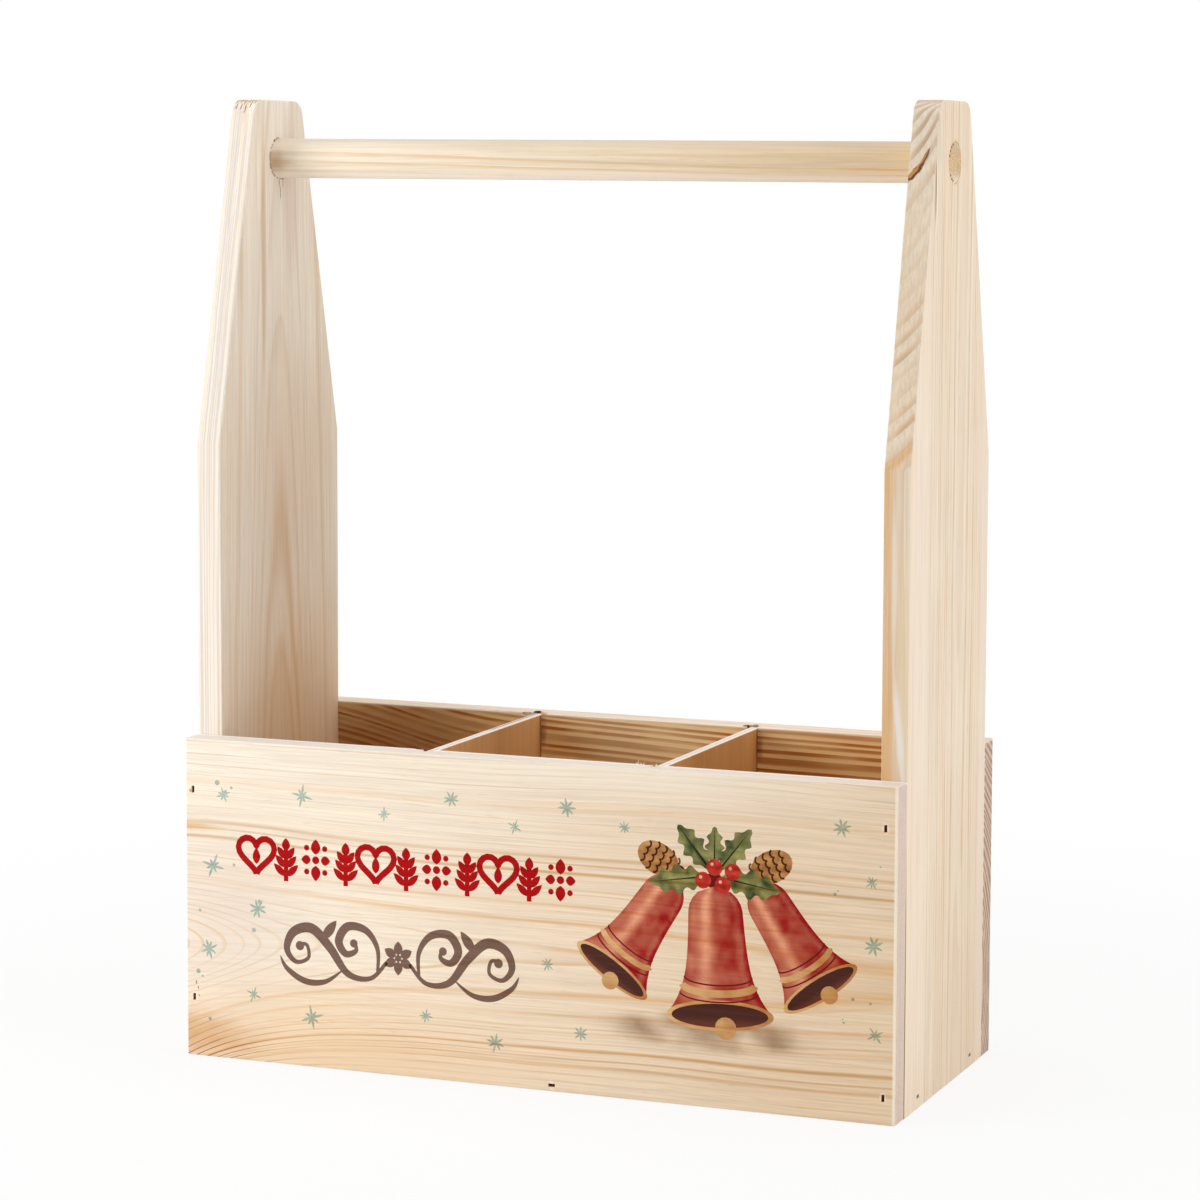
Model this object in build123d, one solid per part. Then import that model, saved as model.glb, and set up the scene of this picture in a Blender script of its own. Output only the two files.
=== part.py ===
from build123d import *
import os

# A wooden carrier for three bottles. Two low boards are nailed over the edges of two
# tall tapered ends, a bottom is let in between all four, a round handle rod goes
# through both ends, and two loose dividers stand in grooves of the low boards.
# Millimetres. +X runs along the carrier, -Y is its front and +Z is up. The origin is
# the centre of its underside.

# Overall sizes
length = 300.0
depth = 124.0
side_height = 129.0
end_height = 384.0

# Board thicknesses
side_thickness = 11.0
end_thickness = 10.5
bottom_thickness = 8.0
divider_thickness = 4.0

# Outline of the ends
taper_height = 138.0  # from the shoulder, where the straight part ends, to the top
crown_width = 39.0  # width of the taper at its very top, before the corners are rounded
crown_radius = 7.0

# Sanded rounding of the boards' open edges
edge_easing = 0.5

# Handle rod, glued into a through hole in each end
rod_diameter = 16.0
rod_drop = 23.5  # from the top of the ends down to the rod's axis
rod_glue_gap = 0.08
rod_end_easing = 0.3

# Bays, counted from the left. The third one takes what is left of the length.
first_bay = 90.5
second_bay = 93.0

# Grooves in the low boards, and how loosely the dividers stand in them
groove_depth = 4.5
divider_side_play = 0.4
divider_end_play = 0.8
divider_top_drop = 0.7
divider_easing = 0.3

# Brads: flat wire nails with a narrow head, shot in until the head sits below the face
brad_length = 26.0
brad_width = 1.6
brad_gauge = 1.3
brad_head_width = 2.8
brad_head_thickness = 0.8
brad_sink = 0.9
brad_point = 2.4

# Where the brads stand. Along a low board: from its end, as shares of an end's thickness.
# Up a low board: shares of its height. In the bottom's edges: shares of its thickness,
# and places along that edge as shares of the bottom's own length or width.
left_brad_inset_share = 0.3
right_brad_inset_share = 0.46
left_brad_height_shares = (0.185, 0.84)
right_brad_height_shares = (0.08, 0.875)
bottom_edge_brad_rise_share = 0.3
bottom_edge_brad_place_share = 0.035
bottom_end_brad_rise_share = 0.58
bottom_end_brad_place_shares = (-0.33, 0.34)

# How far a cutting shape runs past what it cuts
overrun = 1.0

# Worked out from the above
shoulder_height = end_height - taper_height
rod_axis_height = end_height - rod_drop
inner_length = length - 2 * end_thickness
inner_depth = depth - 2 * side_thickness
groove_width = divider_thickness + 2 * divider_side_play
first_divider_x = -inner_length / 2 + first_bay + divider_thickness / 2
second_divider_x = first_divider_x + divider_thickness + second_bay
divider_length = inner_depth + 2 * (groove_depth - divider_end_play)
divider_height = side_height - divider_top_drop - bottom_thickness


def brad():
    """One brad that points down, with the middle of its pierced face at the origin."""
    head_top = -brad_sink
    head_bottom = head_top - brad_head_thickness
    head = Pos(Z=head_top) * Box(
        brad_head_width, brad_gauge, brad_head_thickness, align=(Align.CENTER, Align.CENTER, Align.MAX)
    )
    half = brad_width / 2
    profile = Polyline(
        (-half, head_bottom),
        (half, head_bottom),
        (half, -brad_length + brad_point),
        (0, -brad_length),
        (-half, -brad_length + brad_point),
        close=True,
    )
    shank = extrude(Plane.XZ * make_face(profile), brad_gauge / 2, both=True)
    return head + shank


def brad_hole():
    """What a brad pushes out of the wood: the brad, and the slot above its sunk head."""
    slot = Pos(Z=overrun) * Box(
        brad_head_width, brad_gauge, overrun + brad_sink, align=(Align.CENTER, Align.CENTER, Align.MAX)
    )
    return brad() + slot


def upright(x, y, z, outward):
    """Place on a face that looks along outward, with the brad's wide side up and down."""
    return Plane(origin=(x, y, z), x_dir=(0, 0, 1), z_dir=outward).location


def level(x, y, z, outward):
    """Place on a face that looks along outward, with the brad's wide side level."""
    across = (-outward[1], outward[0], 0)
    return Plane(origin=(x, y, z), x_dir=across, z_dir=outward).location


def side_brad_places():
    """Brad places in the front board: into both ends, and one into the bottom's edge."""
    outward = (0, -1, 0)
    face = -depth / 2
    left = -length / 2 + left_brad_inset_share * end_thickness
    right = length / 2 - right_brad_inset_share * end_thickness
    places = [upright(left, face, share * side_height, outward) for share in left_brad_height_shares]
    places += [upright(right, face, share * side_height, outward) for share in right_brad_height_shares]
    rise = bottom_edge_brad_rise_share * bottom_thickness
    places.append(level(bottom_edge_brad_place_share * inner_length, face, rise, outward))
    return places


def end_brad_places():
    """Brad places in the right end, into the bottom's edge."""
    outward = (1, 0, 0)
    rise = bottom_end_brad_rise_share * bottom_thickness
    return [level(length / 2, share * inner_depth, rise, outward) for share in bottom_end_brad_place_shares]


def half_turned(places):
    """The same places on the opposite face: the carrier turned half round."""
    return [Rot(Z=180) * place for place in places]


def all_brad_holes():
    """Every brad's hole, as one list of cutting shapes."""
    front = side_brad_places()
    right = end_brad_places()
    return [place * brad_hole() for place in front + half_turned(front) + right + half_turned(right)]


def low_board(facing):
    """A low board across the ends, at the front for facing -1 and at the back for +1."""
    middle = facing * (depth - side_thickness) / 2
    board = Pos(0, middle, side_height / 2) * Box(length, side_thickness, side_height)
    board = fillet(board.edges(), edge_easing)
    groove_middle = facing * (inner_depth + groove_depth) / 2
    for x in (first_divider_x, second_divider_x):
        groove = Box(groove_width, groove_depth, side_height + 2 * overrun)
        board -= Pos(x, groove_middle, side_height / 2) * groove
    return board


def end_board(facing):
    """A tall tapered end with its rod hole, on the left for facing -1, the right for +1."""
    foot = inner_depth / 2
    crown = crown_width / 2
    outline = Polyline(
        (-foot, 0),
        (foot, 0),
        (foot, shoulder_height),
        (crown, end_height),
        (-crown, end_height),
        (-foot, shoulder_height),
        close=True,
    )
    face = make_face(outline)
    crown_corners = face.vertices().sort_by(Axis.Y)[-2:]
    face = fillet(crown_corners, crown_radius)
    face -= Pos(0, rod_axis_height) * Circle(rod_diameter / 2 + rod_glue_gap)
    board = extrude(Plane.YZ * face, end_thickness / 2, both=True)
    rims = ShapeList(
        edge
        for side in (board.faces().sort_by(Axis.X)[0], board.faces().sort_by(Axis.X)[-1])
        for edge in side.outer_wire().edges()
        if edge.center().Z > edge_easing
    )
    board = fillet(rims, edge_easing)
    return Pos(facing * (length - end_thickness) / 2, 0, 0) * board


def bottom_board():
    """The bottom, let in between the low boards and the ends, level with their undersides."""
    return Pos(0, 0, bottom_thickness / 2) * Box(inner_length, inner_depth, bottom_thickness)


def handle_rod():
    """The handle rod along X, level with the outer faces of both ends."""
    rod = Rot(Y=90) * Cylinder(rod_diameter / 2, length)
    rod = fillet(rod.edges().filter_by(GeomType.CIRCLE), rod_end_easing)
    return Pos(0, 0, rod_axis_height) * rod


def divider(x):
    """A thin divider that stands on the bottom with its ends in the grooves at x."""
    middle = bottom_thickness + divider_height / 2
    panel = Pos(x, 0, middle) * Box(divider_thickness, divider_length, divider_height)
    return fillet(panel.edges().filter_by(Axis.Y), divider_easing)


def pierced(board, holes):
    """A board with the brad holes that reach it."""
    for hole in holes:
        board -= hole
    return board


def build_nodes():
    """Every node of the carrier by name."""
    holes = all_brad_holes()
    front = side_brad_places()
    right = end_brad_places()
    nodes = {
        "front_board": pierced(low_board(-1), holes),
        "back_board": pierced(low_board(1), holes),
        "left_end_board": pierced(end_board(-1), holes),
        "right_end_board": pierced(end_board(1), holes),
        "bottom_board": pierced(bottom_board(), holes),
        "handle_rod": handle_rod(),
        "left_divider": divider(first_divider_x),
        "right_divider": divider(second_divider_x),
    }
    brad_groups = {
        "front_brads": front,
        "back_brads": half_turned(front),
        "left_end_brads": half_turned(right),
        "right_end_brads": right,
    }
    for name, places in brad_groups.items():
        nodes[name] = Compound(children=[place * brad() for place in places])
    return nodes


os.makedirs("parts", exist_ok=True)
for name, shape in build_nodes().items():
    export_step(shape, f"parts/{name}.step")
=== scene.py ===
"""Dresses a wooden three-bottle carrier: pine boards, plywood dividers, brads and a printed front."""

import logging
import math
import random
from dataclasses import dataclass, field, replace
from enum import Enum
from typing import Callable, Iterable, Sequence

import bmesh
import bpy
from mathutils import Matrix, Vector, geometry, noise


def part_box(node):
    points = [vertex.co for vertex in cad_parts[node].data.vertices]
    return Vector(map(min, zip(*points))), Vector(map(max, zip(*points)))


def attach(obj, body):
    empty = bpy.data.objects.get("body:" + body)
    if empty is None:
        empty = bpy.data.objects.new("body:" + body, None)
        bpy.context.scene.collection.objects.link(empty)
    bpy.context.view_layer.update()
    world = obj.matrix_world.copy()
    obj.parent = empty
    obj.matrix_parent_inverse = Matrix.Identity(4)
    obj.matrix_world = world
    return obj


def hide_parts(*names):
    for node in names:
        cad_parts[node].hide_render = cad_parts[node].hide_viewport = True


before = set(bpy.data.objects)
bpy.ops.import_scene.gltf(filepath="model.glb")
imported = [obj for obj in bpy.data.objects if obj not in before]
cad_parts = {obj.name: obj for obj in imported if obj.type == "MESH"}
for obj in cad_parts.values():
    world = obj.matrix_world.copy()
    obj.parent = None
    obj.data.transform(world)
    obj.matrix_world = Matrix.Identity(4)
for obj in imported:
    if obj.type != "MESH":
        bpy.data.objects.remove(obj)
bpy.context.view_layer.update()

log = logging.getLogger("carrier")

MM = 0.001
Point = tuple[float, float]
Place = tuple[float, float, float]
Box = tuple[Place, Place]
Colour = tuple[float, float, float]
Socket = bpy.types.NodeSocket

WHITE = (1.0, 1.0, 1.0, 1.0)

# Corners closer than this, in metres, are one corner.
WELD = 0.001 * MM

# A reach past the ends of any board, in millimetres.
FAR = 500


def metres(place: Sequence[float]) -> tuple[float, ...]:
    """A place or a size in millimetres, turned into metres."""
    return tuple(part * MM for part in place)


def box(node: str) -> Box:
    """A CAD node's low and high corner in millimetres, to a thousandth."""
    return tuple(tuple(round(part / MM, 3) for part in corner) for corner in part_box(node))


def linear(colour: Colour) -> Colour:
    """A colour as seen on a screen, 0 to 255, turned into linear light, 0 to 1."""
    shares = (c / 255 for c in colour)
    return tuple(s / 12.92 if s <= 0.04045 else ((s + 0.055) / 1.055) ** 2.4 for s in shares)


def rgba(colour: Colour) -> tuple[float, float, float, float]:
    """A screen colour as a shader socket takes it."""
    return (*linear(colour), 1.0)


def blend(a: Sequence[float], b: Sequence[float], share: float) -> tuple[float, ...]:
    """The mix of a and b that holds this share of b."""
    return tuple(x + (y - x) * share for x, y in zip(a, b))


def smooth(value: float, low: float, high: float) -> float:
    """An S-shaped step from 0 at low to 1 at high."""
    share = min(max((value - low) / (high - low), 0.0), 1.0)
    return share * share * (3 - 2 * share)


class Grain(Enum):
    """The axis that a piece's wood fibres run along."""

    ALONG_X = 0
    ALONG_Z = 2


class Bench:
    """Lays out the nodes of one material."""

    # Where the Mix node takes its two colours, and where it gives the mixed one.
    FIRST_COLOUR = 6
    SECOND_COLOUR = 7
    MIXED_COLOUR = 2

    def __init__(self, name: str) -> None:
        """Starts an empty material.

        Args:
            name: the material's name.
        """
        self.material = bpy.data.materials.new(name)
        self.material.use_nodes = True
        self.tree = self.material.node_tree
        self.tree.nodes.clear()
        self.surface = self.add("ShaderNodeBsdfPrincipled")
        output = self.add("ShaderNodeOutputMaterial")
        self.tree.links.new(self.surface.outputs[0], output.inputs[0])

    def add(self, kind: str, **settings: object) -> bpy.types.Node:
        """Adds one node.

        Args:
            kind: the node's type name.
            settings: properties to set on it.

        Returns:
            The node.
        """
        node = self.tree.nodes.new(kind)
        for name, value in settings.items():
            setattr(node, name, value)
        return node

    def feed(self, socket: Socket, value: object) -> None:
        """Links value to a socket if it is one, or else sets it there.

        Args:
            socket: the input to fill.
            value: a socket to link, or a plain value.
        """
        if isinstance(value, bpy.types.NodeSocket):
            self.tree.links.new(value, socket)
        else:
            socket.default_value = value

    def math(self, operation: str, *values: object) -> Socket:
        """The result of a Math node over up to three values.

        Args:
            operation: the node's operation.
            values: sockets or numbers, in the node's order.

        Returns:
            The result.
        """
        node = self.add("ShaderNodeMath", operation=operation)
        for socket, value in zip(node.inputs, values):
            self.feed(socket, value)
        return node.outputs[0]

    def times(self, a: object, b: object) -> Socket:
        """The product of two values."""
        return self.math("MULTIPLY", a, b)

    def plus(self, a: object, b: object) -> Socket:
        """The sum of two values."""
        return self.math("ADD", a, b)

    def minus(self, a: object, b: object) -> Socket:
        """What is left of a after b is taken from it."""
        return self.math("SUBTRACT", a, b)

    def times_plus(self, a: object, b: object, c: object) -> Socket:
        """The product of a and b, with c added."""
        return self.math("MULTIPLY_ADD", a, b, c)

    def size(self, value: object) -> Socket:
        """A value without its sign."""
        return self.math("ABSOLUTE", value)

    def vector(self, operation: str, *values: object) -> bpy.types.Node:
        """A Vector Math node over up to three values.

        Args:
            operation: the node's operation.
            values: sockets or vectors, in the node's order.

        Returns:
            The node.
        """
        node = self.add("ShaderNodeVectorMath", operation=operation)
        for socket, value in zip(node.inputs, values):
            self.feed(socket, value)
        return node

    def split(self, vector: Socket) -> tuple[Socket, Socket, Socket]:
        """The three parts of a vector.

        Args:
            vector: the vector.

        Returns:
            Its three parts.
        """
        node = self.add("ShaderNodeSeparateXYZ")
        self.feed(node.inputs[0], vector)
        return tuple(node.outputs)

    def join(self, x: object, y: object, z: object) -> Socket:
        """A vector from its three parts.

        Args:
            x: the part along X, a socket or a number.
            y: the part along Y.
            z: the part along Z.

        Returns:
            The vector.
        """
        node = self.add("ShaderNodeCombineXYZ")
        for socket, value in zip(node.inputs, (x, y, z)):
            self.feed(socket, value)
        return node.outputs[0]

    def noise(self, vector: object, detail: float = 2.0, rough: float = 0.5, colour: bool = False) -> Socket:
        """Smooth noise over a vector that already holds its scale.

        Args:
            vector: the place in noise space.
            detail: octaves above the first.
            rough: the strength of each finer octave.
            colour: whether to give three noises in place of one.

        Returns:
            The noise, around 0.5.
        """
        node = self.add("ShaderNodeTexNoise")
        self.feed(node.inputs["Vector"], vector)
        node.inputs["Scale"].default_value = 1.0
        node.inputs["Detail"].default_value = detail
        node.inputs["Roughness"].default_value = rough
        return node.outputs[1 if colour else 0]

    def remap(self, value: Socket, low: float, high: float, to_low: float = 0.0,
              to_high: float = 1.0) -> Socket:
        """An S-shaped step of value, from to_low at low to to_high at high.

        Args:
            value: what steps.
            low: where the step starts.
            high: where it ends.
            to_low: the result below low.
            to_high: the result above high.

        Returns:
            The result.
        """
        node = self.add("ShaderNodeMapRange", interpolation_type="SMOOTHSTEP")
        for socket, part in zip(node.inputs, (value, low, high, to_low, to_high)):
            self.feed(socket, part)
        return node.outputs[0]

    def mix(self, share: object, a: object, b: object, mode: str = "MIX") -> Socket:
        """Two colours mixed by share.

        Args:
            share: how much of b shows.
            a: the first colour.
            b: the second colour.
            mode: the mixing mode.

        Returns:
            The mixed colour.
        """
        node = self.add("ShaderNodeMix", data_type="RGBA", blend_type=mode)
        self.feed(node.inputs[0], share)
        self.feed(node.inputs[self.FIRST_COLOUR], a)
        self.feed(node.inputs[self.SECOND_COLOUR], b)
        return node.outputs[self.MIXED_COLOUR]

    def tinted(self, colour: object, tint: object) -> Socket:
        """A colour with a tint multiplied into it."""
        return self.mix(1.0, colour, tint, "MULTIPLY")

    def grey(self, value: Socket) -> Socket:
        """A grey as light as a value."""
        return self.join(value, value, value)

    def coat(self, colour: Socket, rough: Socket, gloss: float) -> None:
        """Finishes the surface.

        Args:
            colour: its colour.
            rough: its roughness.
            gloss: how strongly it mirrors, where 0.5 is usual.
        """
        self.feed(self.surface.inputs["Base Color"], colour)
        self.feed(self.surface.inputs["Roughness"], rough)
        self.surface.inputs["Specular IOR Level"].default_value = gloss

    def ridge(self, height: Socket, strength: float, depth: float) -> None:
        """Makes the surface look ridged.

        Args:
            height: how high it stands, 0 to 1.
            strength: how much of that shows.
            depth: how high 1 is, in millimetres.
        """
        bump = self.add("ShaderNodeBump")
        bump.inputs["Strength"].default_value = strength
        bump.inputs["Distance"].default_value = depth * MM
        self.feed(bump.inputs["Height"], height)
        self.feed(self.surface.inputs["Normal"], bump.outputs[0])


@dataclass(frozen=True)
class Spot:
    """A place in a board: along the grain, and two ways across it."""

    along: Socket
    u: Socket
    v: Socket


@dataclass(frozen=True)
class Mark:
    """A stain, streak or crack in the wood, as a soft ellipsoid.

    place is its middle and reach its half sizes, in millimetres. slant moves it along x for
    each millimetre of z, and soft is the share of the reach over which it fades. ragged is how
    far its rim wavers, and grit how finely. rings is how much it keeps to the hard lines of
    the growth rings.
    """

    place: Place
    reach: Place
    colour: Colour
    strength: float = 1.0
    slant: float = 0.0
    soft: float = 0.5
    ragged: float = 0.25
    rings: float = 0.0
    grit: float = 1.0


@dataclass(frozen=True)
class Band:
    """A few growth rings of one tint: radius from the pith and half their width, in millimetres."""

    radius: float
    reach: float
    colour: Colour
    strength: float = 0.7


@dataclass(frozen=True)
class Swell:
    """A place where the fibres are pushed aside, as they are beside a knot.

    push is how far they move across the grain there, and reach how soon that dies away,
    in millimetres.
    """

    place: Place
    push: Point
    reach: float


@dataclass(frozen=True)
class Pine:
    """Solid pine, as growth rings round a pith line, so that every face of a board agrees.

    Lengths are in millimetres. pith is where the pith line crosses the middle of the board,
    across the grain, and lean is its drift as a share of the length. bend adds a drift of
    that length, which turns over at bend_place along the grain within bend_reach. ring is
    the usual width of a ring, and wander how far the rings stray. Hard wood starts at the
    share onset of each ring and is full at ripe. even is the strength of the weakest ring,
    and fade tints the end at the larger place. side tints the narrow faces that look along Y.
    printed lays the front's print over the wood, and seed picks the noise.
    """

    grain: Grain
    pith: Point
    lean: Point = (0.0, 0.0)
    bend: Point = (0.0, 0.0)
    bend_place: float = 0.0
    bend_reach: float = 50.0
    ring: float = 3.2
    early: Colour = (251, 240, 222)
    late: Colour = (224, 184, 134)
    heart: Colour = (240, 210, 166)
    contrast: float = 0.6
    onset: float = 0.45
    ripe: float = 0.9
    even: float = 0.25
    end_colour: Colour = (226, 204, 186)
    heart_share: float = 0.3
    fade: Colour | None = None
    side: Colour | None = None
    wander: float = 3.0
    seed: float = 0.0
    printed: bool = False
    swells: tuple[Swell, ...] = ()
    bands: tuple[Band, ...] = ()
    marks: tuple[Mark, ...] = ()

    # How many patches each noise has in a metre along the grain, and in a metre across it.
    DRIFT = (7.0, 26.0)
    FIBRE = (16.0, 1100.0)
    PATCH = (30.0, 110.0)
    BLOTCH = (6.0, 20.0)
    CANAL = (110.0, 1500.0)
    PORE = (200.0, 1400.0)

    # The share of a ring at which its hard line starts to end.
    LINE_END = 0.92

    # The places along the grain, in metres, between which the fade comes in.
    FADE = (-0.16, 0.16)

    # The end grain in its pores, and between them.
    PORE_DARK = (216, 196, 178)
    PORE_LIGHT = (255, 252, 248)

    def dress(self, name: str) -> bpy.types.Material:
        """Makes the material.

        Args:
            name: the material's name.

        Returns:
            The finished material.
        """
        bench = Bench(name)
        place = bench.add("ShaderNodeTexCoord").outputs["Object"]
        spot = self.spot(bench, place)
        for swell in self.swells:
            spot = self.pushed(bench, spot, place, swell)
        strayed = self.strayed(bench, spot)
        radius, count = self.rings(bench, strayed)
        dense, ring_power = self.hard_wood(bench, count)
        fibre = bench.noise(self.shifted(bench, strayed, self.FIBRE), detail=3.0, rough=0.65)
        patch = bench.noise(self.shifted(bench, strayed, self.PATCH), detail=1.0)
        worn = bench.times(bench.remap(fibre, 0.2, 0.7, 0.5, 1.0), bench.remap(patch, 0.35, 0.6, 0.45, 1.0))
        dense_worn = bench.times(dense, worn)
        late_share = bench.times(bench.times(dense_worn, ring_power), self.contrast)

        colour = self.soft_wood(bench, spot, radius, count)
        colour = bench.mix(late_share, colour, rgba(self.late))
        colour = bench.tinted(colour, bench.grey(bench.remap(fibre, 0.28, 0.72, 0.89, 1.05)))
        colour = self.flecks(bench, colour, strayed)
        colour, end = self.end_grain(bench, colour, spot)
        if self.side:
            colour = self.narrow_face(bench, colour, place)
        if self.fade:
            far = bench.remap(spot.along, *self.FADE)
            colour = bench.tinted(colour, bench.mix(far, WHITE, rgba(self.fade)))
        for mark in self.marks:
            colour = self.marked(bench, colour, place, dense_worn, mark)
        if self.printed:
            colour = self.inked(bench, colour, fibre, dense)
        rough = bench.times_plus(end, 0.12, bench.times_plus(fibre, 0.16, 0.50))
        bench.coat(colour, rough, gloss=0.08)
        bench.ridge(bench.times_plus(late_share, 0.6, fibre), strength=0.22, depth=0.12)
        return bench.material

    def spot(self, bench: Bench, place: Socket) -> Spot:
        """A place on the board, as it lies along and across the grain."""
        x, y, z = bench.split(place)
        return Spot(x, y, z) if self.grain is Grain.ALONG_X else Spot(z, x, y)

    def pushed(self, bench: Bench, spot: Spot, place: Socket, swell: Swell) -> Spot:
        """Where a spot was before a swell pushed the fibres aside.

        Args:
            bench: the material's nodes.
            spot: the spot.
            place: its place on the board.
            swell: the swell.

        Returns:
            The spot, moved back.
        """
        off = bench.vector("SUBTRACT", place, metres(swell.place)).outputs[0]
        away = bench.vector("LENGTH", off).outputs["Value"]
        share = bench.math("EXPONENT", bench.math("DIVIDE", away, -swell.reach * MM))
        return replace(spot, u=bench.times_plus(share, -swell.push[0] * MM, spot.u),
                       v=bench.times_plus(share, -swell.push[1] * MM, spot.v))

    def stretched(self, bench: Bench, spot: Spot, fine: Point) -> Socket:
        """A noise place with one fineness along the grain and another across it.

        Args:
            bench: the material's nodes.
            spot: the spot.
            fine: how many patches the noise has in a metre, along the grain and across it.

        Returns:
            The noise place.
        """
        along, across = fine
        return bench.join(bench.times(spot.along, along), bench.times(spot.u, across),
                          bench.times(spot.v, across))

    def shifted(self, bench: Bench, spot: Spot, fine: Point) -> Socket:
        """A stretched noise place, moved by the board's seed."""
        shift = (self.seed, self.seed * 1.7, -self.seed)
        return bench.vector("ADD", self.stretched(bench, spot, fine), shift).outputs[0]

    def strayed(self, bench: Bench, spot: Spot) -> Spot:
        """A spot, moved across the grain as far as the rings stray there.

        Args:
            bench: the material's nodes.
            spot: the spot.

        Returns:
            The spot, moved.
        """
        drift = bench.noise(self.shifted(bench, spot, self.DRIFT), detail=1.5, colour=True)
        parts = bench.split(bench.vector("SUBTRACT", drift, (0.5, 0.5, 0.5)).outputs[0])
        return replace(spot, u=bench.times_plus(parts[0], 2 * self.wander * MM, spot.u),
                       v=bench.times_plus(parts[1], 2 * self.wander * MM, spot.v))

    def rings(self, bench: Bench, spot: Spot) -> tuple[Socket, Socket]:
        """How far the pith line is from a spot, and how many rings lie in between.

        Args:
            bench: the material's nodes.
            spot: the spot.

        Returns:
            The distance in metres, and the count of rings with its fraction.
        """
        u_off = self.from_pith(bench, spot.u, spot.along, 0)
        v_off = self.from_pith(bench, spot.v, spot.along, 1)
        radius = bench.math("SQRT", bench.plus(bench.times(u_off, u_off), bench.times(v_off, v_off)))
        uneven = bench.noise(bench.join(bench.times(radius, 70.0), self.seed, 0.5), detail=2.0)
        return radius, bench.times_plus(uneven, 4.0, bench.math("DIVIDE", radius, self.ring * MM))

    def hard_wood(self, bench: Bench, count: Socket) -> tuple[Socket, Socket]:
        """How hard the wood is at its place in the ring, and how strong the whole ring is.

        Args:
            bench: the material's nodes.
            count: the count of rings from the pith, with its fraction.

        Returns:
            The two shares, 0 to 1.
        """
        within = bench.math("FRACT", count)
        dense = bench.times(bench.remap(within, self.onset, self.ripe),
                            bench.remap(within, self.LINE_END, 1.0, 1.0, 0.0))
        number = bench.math("FLOOR", count)
        drawn = bench.noise(bench.join(bench.times(number, 3.7), self.seed, 1.5), detail=0.0)
        return dense, bench.remap(drawn, 0.35, 0.65, self.even, 1.0)

    def soft_wood(self, bench: Bench, spot: Spot, radius: Socket, count: Socket) -> Socket:
        """The colour between the hard lines: pale, warmer in patches, and tinted in the bands.

        Args:
            bench: the material's nodes.
            spot: the spot.
            radius: its distance from the pith line in metres.
            count: the count of rings from there.

        Returns:
            The colour.
        """
        blotch = bench.noise(self.shifted(bench, spot, self.BLOTCH), detail=3.0)
        group = bench.noise(bench.join(bench.times(count, 0.22), self.seed, 2.5), detail=1.0)
        warm = bench.times(bench.remap(bench.plus(group, blotch), 0.8, 1.25), self.heart_share)
        colour = bench.mix(warm, rgba(self.early), rgba(self.heart))
        for band in self.bands:
            away = bench.size(bench.minus(radius, band.radius * MM))
            share = bench.remap(away, 0.0, band.reach * MM, band.strength, 0.0)
            patchy = bench.times(share, bench.remap(blotch, 0.3, 0.55, 0.45, 1.0))
            colour = bench.mix(patchy, colour, rgba(band.colour))
        return colour

    def from_pith(self, bench: Bench, across: Socket, along: Socket, way: int) -> Socket:
        """The distance across the grain from the pith line to here.

        Args:
            bench: the material's nodes.
            across: the place across the grain.
            along: the place along it.
            way: which of the two ways across, 0 or 1.

        Returns:
            The signed distance in metres.
        """
        line = bench.times_plus(along, self.lean[way], self.pith[way] * MM)
        if self.bend[way]:
            past = bench.minus(along, self.bend_place * MM)
            turn = bench.math("TANH", bench.math("DIVIDE", past, self.bend_reach * MM))
            line = bench.times_plus(turn, self.bend[way] * MM, line)
        return bench.minus(across, line)

    def flecks(self, bench: Bench, colour: Socket, spot: Spot) -> Socket:
        """Adds the short dark dashes of the resin canals.

        Args:
            bench: the material's nodes.
            colour: the wood's colour so far.
            spot: the spot.

        Returns:
            The colour with its dashes.
        """
        dashes = self.stretched(bench, spot, self.CANAL)
        spots = bench.noise(bench.vector("ADD", dashes, (9.0, self.seed, 4.0)).outputs[0], detail=0.5)
        return bench.mix(bench.remap(spots, 0.66, 0.80, 0.0, 0.22), colour, rgba(self.late))

    def end_grain(self, bench: Bench, colour: Socket, spot: Spot) -> tuple[Socket, Socket]:
        """Darkens and roughens the faces that cut straight across the fibres.

        Args:
            bench: the material's nodes.
            colour: the wood's colour so far.
            spot: the spot.

        Returns:
            The colour, and how much of the face is end grain.
        """
        normal = bench.split(bench.add("ShaderNodeTexCoord").outputs["Normal"])[self.grain.value]
        end = bench.remap(bench.size(normal), 0.75, 0.97)
        pores = bench.noise(self.stretched(bench, spot, self.PORE), detail=2.0)
        tint = bench.mix(bench.remap(pores, 0.3, 0.7), rgba(self.PORE_DARK), rgba(self.PORE_LIGHT))
        cut = bench.tinted(bench.mix(0.62, colour, rgba(self.end_colour)), tint)
        teeth = bench.noise(bench.join(self.seed, bench.times(spot.u, 700.0), bench.times(spot.v, 160.0)))
        cut = bench.tinted(cut, bench.grey(bench.remap(teeth, 0.32, 0.62, 0.86, 1.03)))
        return bench.mix(end, colour, cut), end

    def narrow_face(self, bench: Bench, colour: Socket, place: Socket) -> Socket:
        """Tints the faces that look along Y and lines them finely.

        Args:
            bench: the material's nodes.
            colour: the wood's colour so far.
            place: the place on the board.

        Returns:
            The colour with the narrow faces in it.
        """
        normal = bench.split(bench.add("ShaderNodeTexCoord").outputs["Normal"])[1]
        x, _, z = bench.split(place)
        wave = bench.noise(bench.join(self.seed, 0.0, bench.times(z, 14.0)))
        sway = bench.times_plus(wave, 1.6 * MM, x)
        line_place = bench.join(bench.times(sway, 1700.0), bench.times(z, 5.0), self.seed)
        lines = bench.noise(line_place, detail=1.0)
        tint = bench.mix(bench.remap(lines, 0.4, 0.6), rgba(self.side), WHITE)
        lined = bench.tinted(bench.mix(0.65, colour, rgba(self.early)), tint)
        return bench.mix(bench.remap(bench.size(normal), 0.8, 0.95), colour, lined)

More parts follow.
